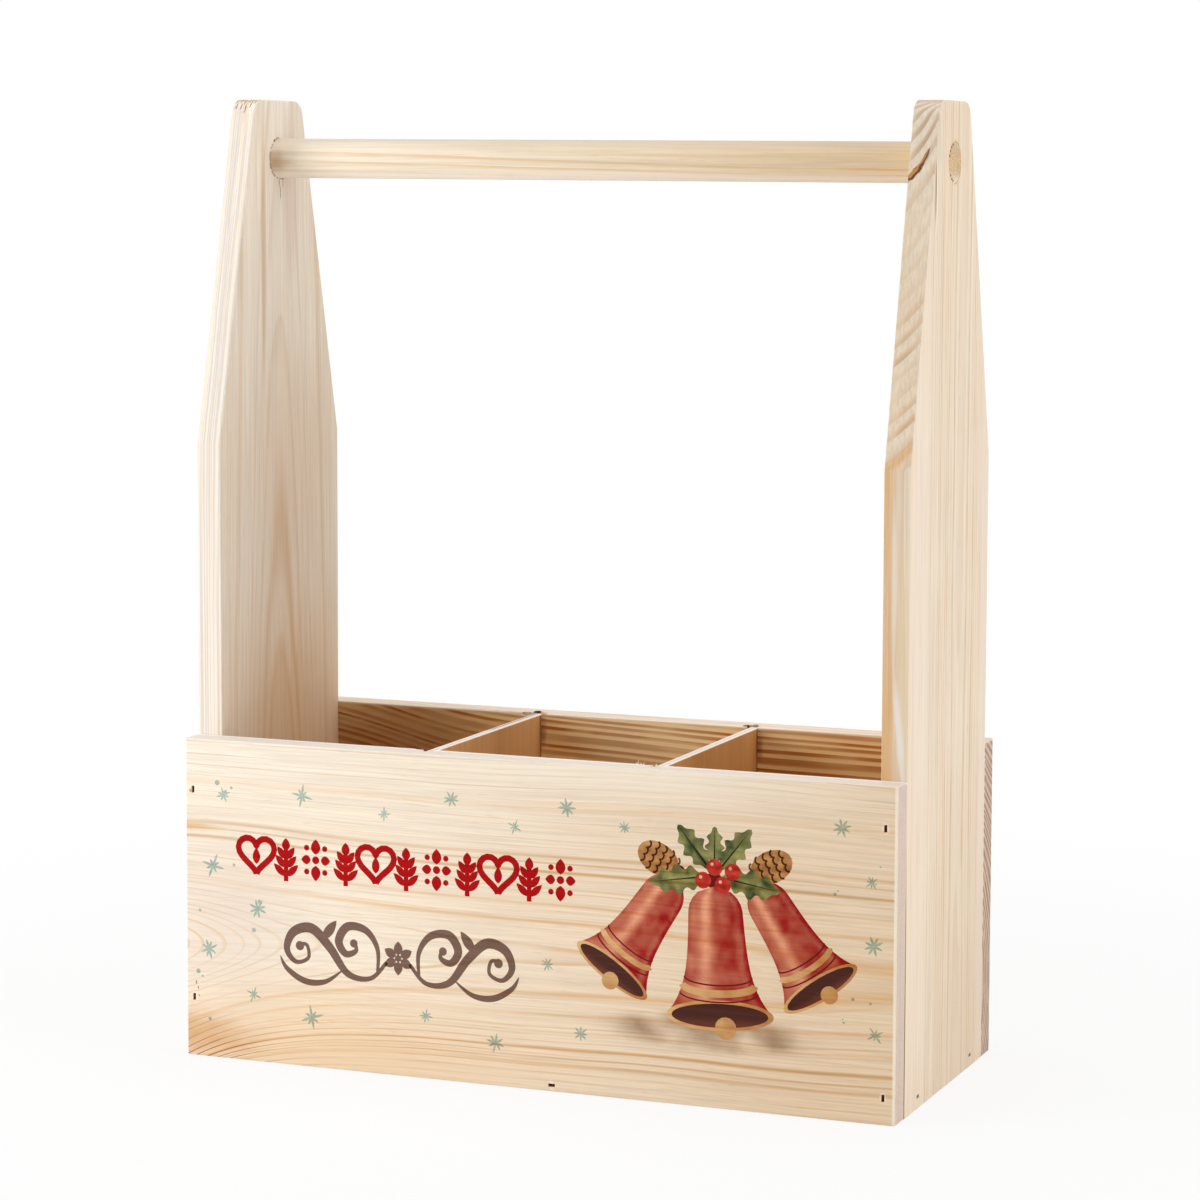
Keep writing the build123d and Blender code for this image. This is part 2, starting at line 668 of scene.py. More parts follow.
    def marked(self, bench: Bench, colour: Socket, place: Socket, dense: Socket, mark: Mark) -> Socket:
        """Adds one mark to the colour.

        Args:
            bench: the material's nodes.
            colour: the wood's colour so far.
            place: the place on the board.
            dense: how hard the ring is here.
            mark: the mark.

        Returns:
            The colour with the mark in it.
        """
        x, y, z = bench.split(bench.vector("SUBTRACT", place, metres(mark.place)).outputs[0])
        x = bench.times_plus(z, -mark.slant, x)
        scaled = bench.vector("DIVIDE", bench.join(x, y, z), metres(mark.reach)).outputs[0]
        finer = bench.vector("MULTIPLY_ADD", scaled, (mark.grit,) * 3, (self.seed, 3.0, 7.0)).outputs[0]
        ripple = bench.noise(finer, detail=3.0)
        length = bench.vector("LENGTH", scaled).outputs["Value"]
        far = bench.times_plus(bench.minus(ripple, 0.5), 2 * mark.ragged, length)
        share = bench.remap(far, 1.0 - mark.soft, 1.0, mark.strength, 0.0)
        if mark.rings:
            share = bench.times(share, bench.remap(dense, 0.0, 0.6, 1.0 - mark.rings, 1.0))
        return bench.mix(share, colour, rgba(mark.colour))

    def inked(self, bench: Bench, colour: Socket, fibre: Socket, dense: Socket) -> Socket:
        """Lays the print's ink over the wood, a little thinner on raised fibres and hard rings.

        Args:
            bench: the material's nodes.
            colour: the wood's colour.
            fibre: the height of the fibres.
            dense: how hard the ring is here.

        Returns:
            The colour with the print over it.
        """
        ink = bench.add("ShaderNodeAttribute", attribute_name=FrontPrint.LAYER).outputs["Color"]
        thin = bench.plus(bench.remap(fibre, 0.5, 0.8, 0.0, 0.015), bench.times(dense, 0.004))
        return bench.tinted(colour, bench.mix(thin, ink, WHITE))


@dataclass(frozen=True)
class Plywood:
    """Thin sanded plywood: plain veneer on the faces, plies on the edges.

    middle is where its middle layer lies along X, and thickness is the whole sheet's, in
    millimetres. The line of glue shows on the edges where y is larger than glue_from.
    """

    middle: float
    thickness: float
    seed: float
    glue_from: float = 1000.0
    face: Colour = (231, 182, 124)
    face_dark: Colour = (209, 152, 95)
    edge: Colour = (255, 246, 238)
    core: Colour = (242, 226, 208)
    glue: Colour = (112, 74, 50)

    def dress(self, name: str) -> bpy.types.Material:
        """Makes the material.

        Args:
            name: the material's name.

        Returns:
            The finished material.
        """
        bench = Bench(name)
        coordinates = bench.add("ShaderNodeTexCoord")
        x, y, z = bench.split(coordinates.outputs["Object"])
        face, streaks = self.veneer(bench, y, z)
        facing = bench.size(bench.split(coordinates.outputs["Normal"])[0])
        colour = bench.mix(bench.remap(facing, 0.4, 0.7), self.plies(bench, x, y, z), face)
        bench.coat(colour, bench.times_plus(streaks, 0.2, 0.5), gloss=0.35)
        bench.ridge(streaks, strength=0.2, depth=0.1)
        return bench.material

    def veneer(self, bench: Bench, y: Socket, z: Socket) -> tuple[Socket, Socket]:
        """The faces: plain veneer with upright streaks.

        Args:
            bench: the material's nodes.
            y: the place along the sheet.
            z: the place up it.

        Returns:
            The colour, and the height of the streaks.
        """
        sway = bench.noise(bench.join(bench.times(z, 9.0), bench.times(y, 30.0), self.seed))
        across = bench.times_plus(sway, 0.012, y)
        streak_place = bench.join(bench.times(across, 420.0), bench.times(z, 9.0), self.seed)
        streaks = bench.noise(streak_place, detail=4.0, rough=0.65)
        broad_place = bench.join(bench.times(across, 55.0), bench.times(z, 3.0), self.seed)
        broad = bench.noise(broad_place, detail=2.0)
        dark = bench.plus(bench.remap(streaks, 0.35, 0.75, 0.0, 0.55),
                          bench.remap(broad, 0.4, 0.7, 0.0, 0.45))
        return bench.mix(dark, rgba(self.face), rgba(self.face_dark)), streaks

    def plies(self, bench: Bench, x: Socket, y: Socket, z: Socket) -> Socket:
        """The edges: the middle ply between two outer ones, and a ragged line of glue beside it.

        Args:
            bench: the material's nodes.
            x: the place through the sheet.
            y: the place along it.
            z: the place up it.

        Returns:
            The colour.
        """
        thick, glue_from = self.thickness * MM, self.glue_from * MM
        off = bench.minus(x, self.middle * MM)
        ragged = bench.noise(bench.join(bench.times(y, 300.0), bench.times(z, 300.0), self.seed))
        ply_line = bench.times_plus(ragged, 0.12 * thick, 0.15 * thick)
        glue = bench.remap(bench.size(bench.plus(off, ply_line)), 0.05 * thick, 0.1 * thick, 0.9, 0.0)
        glue = bench.times(glue, bench.remap(y, glue_from, glue_from + 6 * MM))
        in_core = bench.remap(bench.size(off), 0.12 * thick, 0.2 * thick, 1.0, 0.0)
        edge = bench.mix(in_core, rgba(self.edge), rgba(self.core))
        edge = bench.mix(glue, edge, rgba(self.glue))
        saw_place = bench.join(bench.times(x, 2500.0), bench.times(y, 700.0), bench.times(z, 700.0))
        sawn = bench.remap(bench.noise(saw_place, detail=2.0), 0.3, 0.7, 0.92, 1.04)
        return bench.tinted(edge, bench.grey(sawn))


@dataclass(frozen=True)
class BradSteel:
    """Plain flat wire, brown with rust and with painted shade of the slots it sits in, darker in patches."""

    bright: Colour = (98, 46, 20)
    dark_rust_and_shade: Colour = (60, 24, 8)

    def dress(self, name: str) -> bpy.types.Material:
        """Makes the material.

        Args:
            name: the material's name.

        Returns:
            The finished material.
        """
        bench = Bench(name)
        place = bench.add("ShaderNodeTexCoord").outputs["Object"]
        scaled = bench.vector("MULTIPLY", place, (900.0, 900.0, 900.0)).outputs[0]
        patches = bench.noise(scaled, detail=3.0)
        colour = bench.mix(bench.remap(patches, 0.4, 0.6), rgba(self.bright), rgba(self.dark_rust_and_shade))
        bench.coat(colour, bench.remap(patches, 0.3, 0.7, 0.55, 0.85), gloss=0.1)
        return bench.material


@dataclass(frozen=True)
class Ink:
    """One printing ink, as the light that it lets through at each place on the board.

    pale and deep are what white paper would show under a thin and a thick wash. depth
    gives the thickness, 0 to 1, at a place in millimetres. An ink that covers hides the
    inks under it, and grain is the spacing of the extra points that carry its shading.
    """

    deep: Colour
    pale: Colour = (255, 255, 255)
    depth: Callable[[float, float], float] = lambda x, z: 1.0
    covers: bool = False
    grain: float = 0.0

    def at(self, x: float, z: float) -> Colour:
        """The light let through at a place, in linear light."""
        return blend(linear(self.pale), linear(self.deep), min(max(self.depth(x, z), 0.0), 1.0))


@dataclass(frozen=True)
class Layer:
    """Outlines in millimetres that print together, so that overlaps don't darken."""

    outlines: list[list[Point]]
    ink: Ink


def area(outline: Sequence[Point]) -> float:
    """The area inside a closed outline: positive when it runs anticlockwise."""
    return sum(ax * bz - bx * az for (ax, az), (bx, bz) in zip(outline, [*outline[1:], outline[0]])) / 2


def inside(point: Point, outline: Sequence[Point]) -> bool:
    """Whether a point is inside a closed outline.

    Args:
        point: the point.
        outline: the outline's points, in order.

    Returns:
        True inside it.
    """
    x, z = point
    within = False
    for (ax, az), (bx, bz) in zip(outline, [*outline[1:], outline[0]]):
        if (az > z) != (bz > z) and x < ax + (z - az) * (bx - ax) / (bz - az):
            within = not within
    return within


def circle(middle: Point, radius: float, count: int = 14, squash: float = 1.0,
           turn: float = 0.0) -> list[Point]:
    """Points round a circle or a squashed circle.

    Args:
        middle: its centre.
        radius: its half width.
        count: how many points.
        squash: its height over its width.
        turn: its turn in radians.

    Returns:
        The points, anticlockwise.
    """
    points = []
    for i in range(count):
        angle = math.tau * i / count
        x, z = radius * math.cos(angle), radius * squash * math.sin(angle)
        points.append((middle[0] + x * math.cos(turn) - z * math.sin(turn),
                       middle[1] + x * math.sin(turn) + z * math.cos(turn)))
    return points


def curve_through(points: Sequence[Point], steps: int = 7) -> list[Point]:
    """A smooth open curve through all the points.

    Args:
        points: the points it passes, in order.
        steps: how many pieces each gap gets.

    Returns:
        The points of the smooth curve.
    """
    ends = [points[0], *points, points[-1]]
    made = []
    for a, b, c, d in zip(ends, ends[1:], ends[2:], ends[3:]):
        for i in range(steps):
            t = i / steps
            made.append(tuple(0.5 * (2 * q + (r - p) * t + (2 * p - 5 * q + 4 * r - s) * t ** 2
                                     + (3 * q - p - 3 * r + s) * t ** 3) for p, q, r, s in zip(a, b, c, d)))
    return [*made, tuple(points[-1])]


def sides(path: Sequence[Point], width: Callable[[float], float]) -> tuple[list[Point], list[Point]]:
    """The left and right sides of a brush stroke along a path.

    Args:
        path: the path's points.
        width: the stroke's whole width at each share of the path.

    Returns:
        The left side and the right side.
    """
    left, right = [], []
    last = len(path) - 1
    for i, (x, z) in enumerate(path):
        before, after = path[max(i - 1, 0)], path[min(i + 1, last)]
        dx, dz = after[0] - before[0], after[1] - before[1]
        size = math.hypot(dx, dz) or 1.0
        half = max(width(i / last), 0.04) / 2
        left.append((x - dz / size * half, z + dx / size * half))
        right.append((x + dz / size * half, z - dx / size * half))
    return left, right


def hull(points: Iterable[Point]) -> list[Point]:
    """The smallest convex outline round some points, anticlockwise.

    Args:
        points: the points, in any order.

    Returns:
        The outline.
    """
    ordered = sorted(set(points))
    rim: list[Point] = []
    for row in (ordered, ordered[::-1]):
        start = len(rim)
        for point in row:
            while len(rim) >= start + 2 and area((rim[-2], rim[-1], point)) <= 0:
                rim.pop()
            rim.append(point)
        rim.pop()
    return rim


def stroke(path: Sequence[Point], width: Callable[[float], float]) -> list[list[Point]]:
    """A brush stroke along a path, as a chain of convex pieces."""
    left, right = sides(path, width)
    return [hull((right[i], right[i + 1], left[i + 1], left[i])) for i in range(len(path) - 1)]


def leaf(root: Point, tip: Point, width: float, fullest: float = 0.45) -> list[Point]:
    """A pointed leaf.

    Args:
        root: where it starts.
        tip: its point.
        width: its whole width.
        fullest: the share of its length at which it is widest.

    Returns:
        Its outline.
    """
    power = math.log(0.5) / math.log(fullest)
    path = [blend(root, tip, i / 8) for i in range(9)]
    left, right = sides(path, lambda t: width * math.sin(math.pi * t ** power) ** 0.8 if 0 < t < 1 else 0)
    return right + left[::-1]


def holly(root: Point, tip: Point, width: float) -> list[Point]:
    """A holly leaf with four points on each side.

    Args:
        root: where it starts.
        tip: its end point.
        width: its whole width.

    Returns:
        Its outline.
    """
    path = [blend(root, tip, i / 24) for i in range(25)]

    def spiky(t: float) -> float:
        """The leaf's width at a share of its length."""
        point = abs(math.cos(4 * math.pi * t)) ** 2.5
        return width * max(math.sin(math.pi * t), 0.0) ** 0.7 * (0.58 + 0.42 * point)

    left, right = sides(path, spiky)
    return right + left[::-1]


def mottled(x: float, z: float, size: float, seed: float = 0.0) -> float:
    """Soft noise from -1 to 1 over the board, in patches of this size, for uneven washes."""
    place = Vector((x / size, z / size, seed))
    return noise.noise(place) + 0.5 * noise.noise(place * 2.3)


@dataclass(frozen=True)
class Bell:
    """One painted bell: its crown, its swing in radians, its height and its mouth's half width."""

    crown: Point
    swing: float
    height: float
    mouth: float
    seed: float

    def place(self, across: float, down: float) -> Point:
        """The board place of a point given across the bell and down from its crown."""
        c, s = math.cos(self.swing), math.sin(self.swing)
        return self.crown[0] + across * c + down * s, self.crown[1] + across * s - down * c

    def local(self, x: float, z: float) -> Point:
        """How far across and down the bell a board place is.

        Args:
            x: the place along the board, in millimetres.
            z: the place up it.

        Returns:
            The distance across the bell, and down from its crown.
        """
        c, s = math.cos(self.swing), math.sin(self.swing)
        dx, dz = x - self.crown[0], z - self.crown[1]
        return dx * c + dz * s, dx * s - dz * c

    def half_width(self, share: float) -> float:
        """The bell's half width at a share of its height."""
        dome = math.sqrt(max(1 - (1 - min(share / 0.2, 1.0)) ** 2, 0.0))
        return self.mouth * (0.48 * dome + 0.12 * share + 0.40 * share ** 5)

    def body_depth(self, x: float, z: float) -> float:
        """How thick the red wash is: pale on the left of the middle, deep towards the right.

        Args:
            x: the place along the board, in millimetres.
            z: the place up it.

        Returns:
            The thickness, 0 to 1.
        """
        across, down = self.local(x, z)
        share = min(max(down / self.height, 0.02), 1.0)
        side = across / max(self.half_width(share), 0.5)
        glow = math.exp(-((side + 0.36) / 0.20) ** 2) * (1.0 - 0.45 * share)
        edge = 0.18 * smooth(abs(side), 0.84, 1.0)
        bounce = 0.22 * math.exp(-((side - 0.78) / 0.12) ** 2)
        return 0.80 + 0.22 * side - 0.78 * glow - bounce + edge + 0.24 * mottled(x, z, 6.0, self.seed)

    def band_depth(self, x: float, z: float) -> float:
        """How thick the tan band's wash is."""
        across, _ = self.local(x, z)
        return 0.5 + 0.35 * across / self.mouth + 0.3 * mottled(x, z, 5.0, self.seed)

    def hollow_depth(self, x: float, z: float) -> float:
        """How dark the open mouth is: darkest at its upper edge."""
        _, down = self.local(x, z)
        return 0.85 - 0.5 * smooth(down, self.height, self.height + 0.26 * self.mouth)

    def hoop(self, share: float, width: float) -> list[list[Point]]:
        """A line round the bell at a share of its height, curved as the mouth is.

        Args:
            share: how far down the bell, 0 to 1.
            width: the line's width in millimetres.

        Returns:
            The line's outlines.
        """
        half = self.half_width(share)
        path = [self.place(half * math.cos(a), share * self.height + 0.24 * half * math.sin(a))
                for a in (math.pi * i / 16 for i in range(17))]
        return stroke(path, lambda t: width)

    def layers(self) -> list[Layer]:
        """The bell's layers, from the back.

        Returns:
            The layers.
        """
        shares = [i / 22 for i in range(23)]
        left = [self.place(-self.half_width(t), t * self.height) for t in shares[1:]]
        right = [self.place(self.half_width(t), t * self.height) for t in shares[1:]]
        body = [self.place(0, 0), *right, *left[::-1]]
        red = Ink((168, 10, 22), (255, 196, 176), self.body_depth, covers=True, grain=1.3)
        tan = Ink((190, 138, 84), (246, 222, 178), self.band_depth, covers=True, grain=2.0)
        dark = Ink((58, 34, 36), (150, 92, 84), self.hollow_depth, covers=True, grain=2.0)
        line = Ink((112, 22, 28), covers=True)
        middle = self.place(0, self.height)
        return [Layer([circle(self.place(0, -2.2), 3.4, 12)], line),
                Layer([body], red),
                Layer([circle(middle, self.mouth, 30, 0.27, self.swing)], tan),
                Layer([circle(middle, self.mouth * 0.90, 30, 0.235, self.swing)], dark),
                Layer([circle(self.place(self.mouth * 0.10, self.height + self.mouth * 0.22),
                              self.mouth * 0.2, 16)], tan),
                Layer(self.hoop(0.76, self.mouth * 0.13), tan),
                Layer(self.hoop(0.70, 0.6) + self.hoop(0.82, 0.6), line)]


@dataclass
class FrontPrint:
    """The front board's print: scattered stars, a red folk band, a scroll and painted bells.

    Places are millimetres on the board's face, from the middle of its lower edge.
    """

    LAYER = "print_ink"

    star_ink: Ink = Ink((162, 200, 205), (200, 220, 219), lambda x, z: 0.6 + 0.9 * mottled(x, z, 1.9))
    red_ink: Ink = Ink((182, 0, 6))
    taupe_ink: Ink = Ink((127, 107, 103))
    berry_ink: Ink = Ink((176, 20, 30), (236, 92, 84), lambda x, z: 0.6 + 0.5 * mottled(x, z, 2.2), True, 1.2)
    leaf_ink: Ink = Ink((52, 78, 50), (172, 184, 130), lambda x, z: 0.5 + 0.85 * mottled(x, z, 5.0),
                        True, 1.6)
    vein_ink: Ink = Ink((44, 62, 42))
    cone_ink: Ink = Ink((150, 100, 60), (224, 184, 132), lambda x, z: 0.5 + 0.6 * mottled(x, z, 3.0),
                        True, 1.5)
    scale_ink: Ink = Ink((112, 74, 46))
    band_left: float = -125.0
    band_right: float = 20.0
    band_middle: float = 83.5
    scroll_middle: Point = (-56.0, 47.0)
    cluster: Point = (77.0, 90.0)
    layers: list[Layer] = field(default_factory=list)

    def draw(self) -> list[Layer]:
        """Draws the whole print.

        Returns:
            Its layers, from the back.
        """
        self.stars()
        self.band()
        self.scroll()
        self.bells()
        return self.layers

    def add(self, outlines: Iterable[Sequence[Point]], ink: Ink) -> None:
        """Adds one layer of outlines in one ink."""
        self.layers.append(Layer([list(outline) for outline in outlines], ink))

    def star(self, middle: Point, size: float, turn: float) -> list[list[Point]]:
        """An eight-rayed star of loose brush dabs, with every second ray shorter.

        Args:
            middle: its centre.
            size: its radius.
            turn: its turn in radians.

        Returns:
            Its outlines.
        """
        rays = []
        for i in range(8):
            angle = turn + i * math.tau / 8 + 0.10 * math.sin(5 * i + middle[0])
            reach = size * (1.0 if i % 2 == 0 else 0.74) * (1 + 0.12 * math.sin(3 * i + middle[1]))
            tip = (middle[0] + reach * math.cos(angle), middle[1] + reach * math.sin(angle))
            rays.append(leaf(blend(middle, tip, -0.10), tip, 0.22 * size, 0.52))
        return rays

    def stars(self) -> None:
        """Scatters the stars and a few dots over the free parts of the board."""
        rng = random.Random(11)
        rays = []
        for x, z, size in ((-138, 78, 4.8), (-133, 107, 3.4), (-118, 62, 4.6), (-98, 109, 4.4),
                           (-62, 104, 3.0), (-33, 112, 4.0), (-6, 103, 3.0), (16, 112, 4.4),
                           (40, 106, 3.0), (128, 112, 4.4), (140, 92, 3.0), (141, 68, 4.6),
                           (142, 34, 3.4), (-140, 44, 4.4), (-120, 27, 3.2), (-94, 20, 4.8),
                           (-44, 25, 3.2), (-14, 17, 4.4), (8, 50, 3.2), (22, 24, 3.6)):
            rays += self.star((x, z), size, rng.uniform(0, math.tau))
        dots = [circle((rng.uniform(-145, -112), rng.uniform(14, 112)), rng.uniform(0.3, 1.1), 9)
                for _ in range(12)]
        dots += [circle((rng.uniform(124, 144), rng.uniform(30, 120)), rng.uniform(0.3, 0.8), 9)
                 for _ in range(7)]
        self.add(rays + dots, self.star_ink)

    def heart(self, middle: Point, size: float) -> list[list[Point]]:
        """A heart drawn with one line of the brush.

        Args:
            middle: its centre.
            size: its width.

        Returns:
            Its outlines.
        """
        path = []
        for i in range(33):
            t = math.tau * i / 32 + math.pi
            high = 13 * math.cos(t) - 5 * math.cos(2 * t) - 2 * math.cos(3 * t) - math.cos(4 * t)
            path.append((middle[0] + 16 * math.sin(t) ** 3 * size / 30, middle[1] + (high + 2) * size / 30))
        return stroke(path, lambda t: 2.6)

    def band(self) -> None:
        """Adds the red band: hearts, leaf sprigs and blossoms in turn."""
        count = 11
        step = (self.band_right - self.band_left) / count
        for i in range(count):
            x = self.band_left + step * (i + 0.5)
            z = self.band_middle - (0.8 if i % 2 else 0.0)
            if i % 4 == 0:
                self.add([*self.heart((x, z), 15.0), leaf((x, z - 3.4), (x, z + 3.2), 3.4)], self.red_ink)
            elif i % 4 == 2:
                self.add(self.blossom((x, z)), self.red_ink)
            else:
                self.add(self.sprig((x, z - 8.6), 17.4), self.red_ink)

    def blossom(self, middle: Point) -> list[list[Point]]:
        """A four-petalled folk blossom with dots between its petals.

        Args:
            middle: its centre.

        Returns:
            Its outlines.
        """
        x, z = middle
        parts = [leaf((x + 2.2 * side, z), (x + 6.4 * side, z), 3.8) for side in (-1, 1)]
        parts += [leaf((x, z + 2.2 * side), (x, z + 8.4 * side), 4.2) for side in (-1, 1)]
        parts += [circle((x + 4.0 * across, z + 4.8 * up), 1.2, 10) for across in (-1, 1) for up in (-1, 1)]
        return [*parts, circle((x, z), 1.6)]

    def sprig(self, foot: Point, height: float) -> list[list[Point]]:
        """An upright stem with paired leaves and a bud.

        Args:
            foot: the stem's lower end.
            height: its whole height.

        Returns:
            Its outlines.
        """
        x, z = foot
        parts = stroke([(x, z), (x, z + height * 0.4), (x, z + height * 0.8)], lambda t: 2.0)
        for k in range(3):
            low = z + height * (0.12 + 0.2 * k)
            parts += [leaf((x + 0.4 * side, low), (x + side * (5.4 - 0.8 * k), low + 4.8), 2.9)
                      for side in (-1, 1)]
        return [*parts, leaf((x, z + height * 0.70), (x, z + height), 3.6)]

    def scroll(self) -> None:
        """Adds the brown-grey scroll: two mirrored curls round a small blossom."""
        cx, cz = self.scroll_middle
        for side in (-1, 1):
            def at(*places: Point) -> list[Point]:
                """A smooth curve through places given from the scroll's middle, on this side."""
                return curve_through([(cx + side * x, cz + z) for x, z in places])

            main = at((5, -2), (12, -9), (22, -8), (30, 2), (38, 9), (46, 7), (49, 0), (45, -5), (39.5, -3),
                      (40, 2), (43, 2.4))
            inner = at((9, -6.5), (9, 3), (14, 10), (22, 11), (26, 5), (23, 0), (18.5, 1.5), (19, 5.2))
            fine = at((24, -6.5), (32, -12), (41, -12.5), (49, -8), (52, -3))
            self.add([*stroke(main, lambda t: 1.5 + 2.6 * math.sin(math.pi * min(1.0, 1.25 * t)) ** 2),
                      *stroke(inner, lambda t: 1.3 + 2.3 * max(math.sin(math.pi * t), 0.0) ** 1.5),
                      *stroke(fine, lambda t: 2.6 * max(math.sin(math.pi * t), 0.0) ** 0.8),
                      circle((cx + side * 43.2, cz + 1.6), 1.9),
                      circle((cx + side * 19.4, cz + 4.4), 1.7),
                      leaf((cx + side * 33, cz + 5), (cx + side * 27, cz + 13), 4.0)], self.taupe_ink)
        petals = [leaf((cx + 1.2 * math.cos(a), cz + 1.2 * math.sin(a)),
                       (cx + 6.8 * math.cos(a), cz + 6.8 * math.sin(a)), 3.8)
                  for a in (math.tau * i / 6 + math.pi / 2 for i in range(6))]
        self.add([*petals, circle((cx, cz), 1.4)], self.taupe_ink)

    def bells(self) -> None:
        """Adds three painted bells under holly, with two cones and a soft ground wash."""
        self.ground()
        for bell in (Bell((61, 88), -0.60, 46.0, 17.5, 3.0), Bell((94, 88), 0.60, 46.0, 17.5, 8.0),
                     Bell((77, 86), 0.05, 50.0, 22.0, 5.0)):
            self.layers += bell.layers()
        for side in (-1, 1):
            self.cone((self.cluster[0] + 23 * side, self.cluster[1] + 5), -1.1 * side)
        x, z = self.cluster
        for angle, size in ((2.25, 21), (0.90, 21), (3.30, 24), (-0.16, 24), (1.57, 16)):
            self.holly_leaf((x + 3 * math.cos(angle), z + 3 * math.sin(angle)), angle, size)
        berries = ((-4.6, -2), (3.4, -3.4), (0, 3.2), (7.4, 2))
        shines = ((-5.6, -0.8), (2.4, -2.2), (-1, 4.4), (6.4, 3.2))
        self.add([circle((x + bx, z + bz), 3.3, 16) for bx, bz in berries], self.berry_ink)
        self.add([circle((x + bx, z + bz), 0.7, 8) for bx, bz in shines], Ink((250, 214, 204), covers=True))

    def holly_leaf(self, root: Point, angle: float, size: float) -> None:
        """Adds one holly leaf with its vein.

        Args:
            root: where the leaf starts.
            angle: its direction in radians.
            size: its length.
        """
        tip = (root[0] + size * math.cos(angle), root[1] + size * math.sin(angle))
        self.add([holly(root, tip, size * 0.52)], self.leaf_ink)
        self.add(stroke([root, blend(root, tip, 0.5), blend(root, tip, 0.92)], lambda t: 0.7 * (1.15 - t)),
                 self.vein_ink)

    def cone(self, middle: Point, lean: float) -> None:
        """Adds one cone: a tan oval with rows of darker scales.

        Args:
            middle: its centre.
            lean: its turn in radians.
        """
        self.add([circle(middle, 6.2, 20, 1.45, lean)], self.cone_ink)
        c, s = math.cos(lean), math.sin(lean)
        scales = []
        for row in range(5):
            up = -7.0 + 3.3 * row
            count = 3 if row in (0, 4) else 4
            for k in range(count):
                across = (k - (count - 1) / 2) * 2.9
                path = [(across + 1.5 * math.cos(a), up + 1.3 * math.sin(a))
                        for a in (math.pi + math.pi * i / 6 for i in range(7))]
                leant = [(middle[0] + px * c - pz * s, middle[1] + px * s + pz * c) for px, pz in path]
                scales += stroke(leant, lambda t: 0.8)
        self.add(scales, self.scale_ink)

    def ground(self) -> None:
        """Adds the grey-tan wash low behind the bells."""
        middle = (76.0, 29.0)

        def rim(angle: float) -> float:
            """How far out the wash's uneven rim is in a direction."""
            return 1 + 0.16 * mottled(3 * math.cos(angle), 3 * math.sin(angle), 1.0, 4.0)

        outline = [(middle[0] + 52 * rim(a) * math.cos(a), middle[1] + 9 * rim(a) * math.sin(a))
                   for a in (math.tau * i / 60 for i in range(60))]

        def depth(x: float, z: float) -> float:
            """How thick the wash is at a place."""
            out = math.hypot((x - middle[0]) / 52, (z - middle[1]) / 9)
            return (0.5 + 0.6 * mottled(x, z * 1.6, 14.0, 2.0)) * (1 - smooth(out, 0.55, 1.0))

        self.add([outline], Ink((168, 148, 132), depth=depth, grain=2.2))


def shade_board(mesh: bpy.types.Mesh, crease: float = 30.0, square: float = 0.9995) -> None:
    """Shades a board's planes flat and its roundings smooth.

    Args:
        mesh: the board's mesh.
        crease: the angle, in degrees, from which an edge is sharp.
        square: how far along an axis a plane's normal has to look.
    """
    mesh.shade_smooth()
    mesh.set_sharp_from_angle(angle=math.radians(crease))
    for polygon in mesh.polygons:
        polygon.use_smooth = max(abs(part) for part in polygon.normal) < square


@dataclass(frozen=True)
class Gouge:
    """A torn hollow: a jagged ellipsoid to cut away, in millimetres, leant about the X axis."""

    place: Place
    reach: Place
    lean: float = 0.0

    def tone_and_shade(self, colour: Colour, strength: float = 0.9, spread: float = 1.12) -> Mark:
        """The torn wood's darker tone inside the hollow with painted shade of the hollow, spread times as far
        out as the hollow.
        """
        reach = self.reach if not self.lean else (self.reach[0], 0.8 * self.reach[2], 0.8 * self.reach[2])
        return Mark(self.place, tuple(spread * part for part in reach), colour, strength, soft=0.35)

    def mesh_into(self, work: bmesh.types.BMesh, rng: random.Random) -> None:
        """Adds the jagged ellipsoid to a mesh.

        Args:
            work: the mesh.
            rng: where its jagged rim comes from.
        """
        turn = (Matrix.Translation(metres(self.place)) @ Matrix.Rotation(self.lean, 4, "X")
                @ Matrix.Diagonal((*metres(self.reach), 1.0)))
        made = bmesh.ops.create_icosphere(work, subdivisions=2, radius=1.0)
        for vert in made["verts"]:
            vert.co *= rng.uniform(0.72, 1.15)
            vert.co = turn @ vert.co


@dataclass(frozen=True)
class Sliver:
    """A raised splinter: a thin spike from root to tip, in millimetres."""

    root: Place
    tip: Place
    thick: float

    def mesh_into(self, work: bmesh.types.BMesh) -> None:
        """Adds the spike to a mesh.

        Args:
            work: the mesh.
        """
        root, tip, half = Vector(metres(self.root)), Vector(metres(self.tip)), self.thick / 2 * MM
        along = (tip - root).normalized()
        side = along.orthogonal().normalized()
        other = along.cross(side)
        base = [work.verts.new(root + (side * math.cos(a) + other * 0.55 * math.sin(a)) * half)
                for a in (math.tau * i / 5 for i in range(5))]
        point = work.verts.new(tip)
        work.faces.new(base[::-1])
        for a, b in zip(base, [*base[1:], base[0]]):
            work.faces.new((a, b, point))


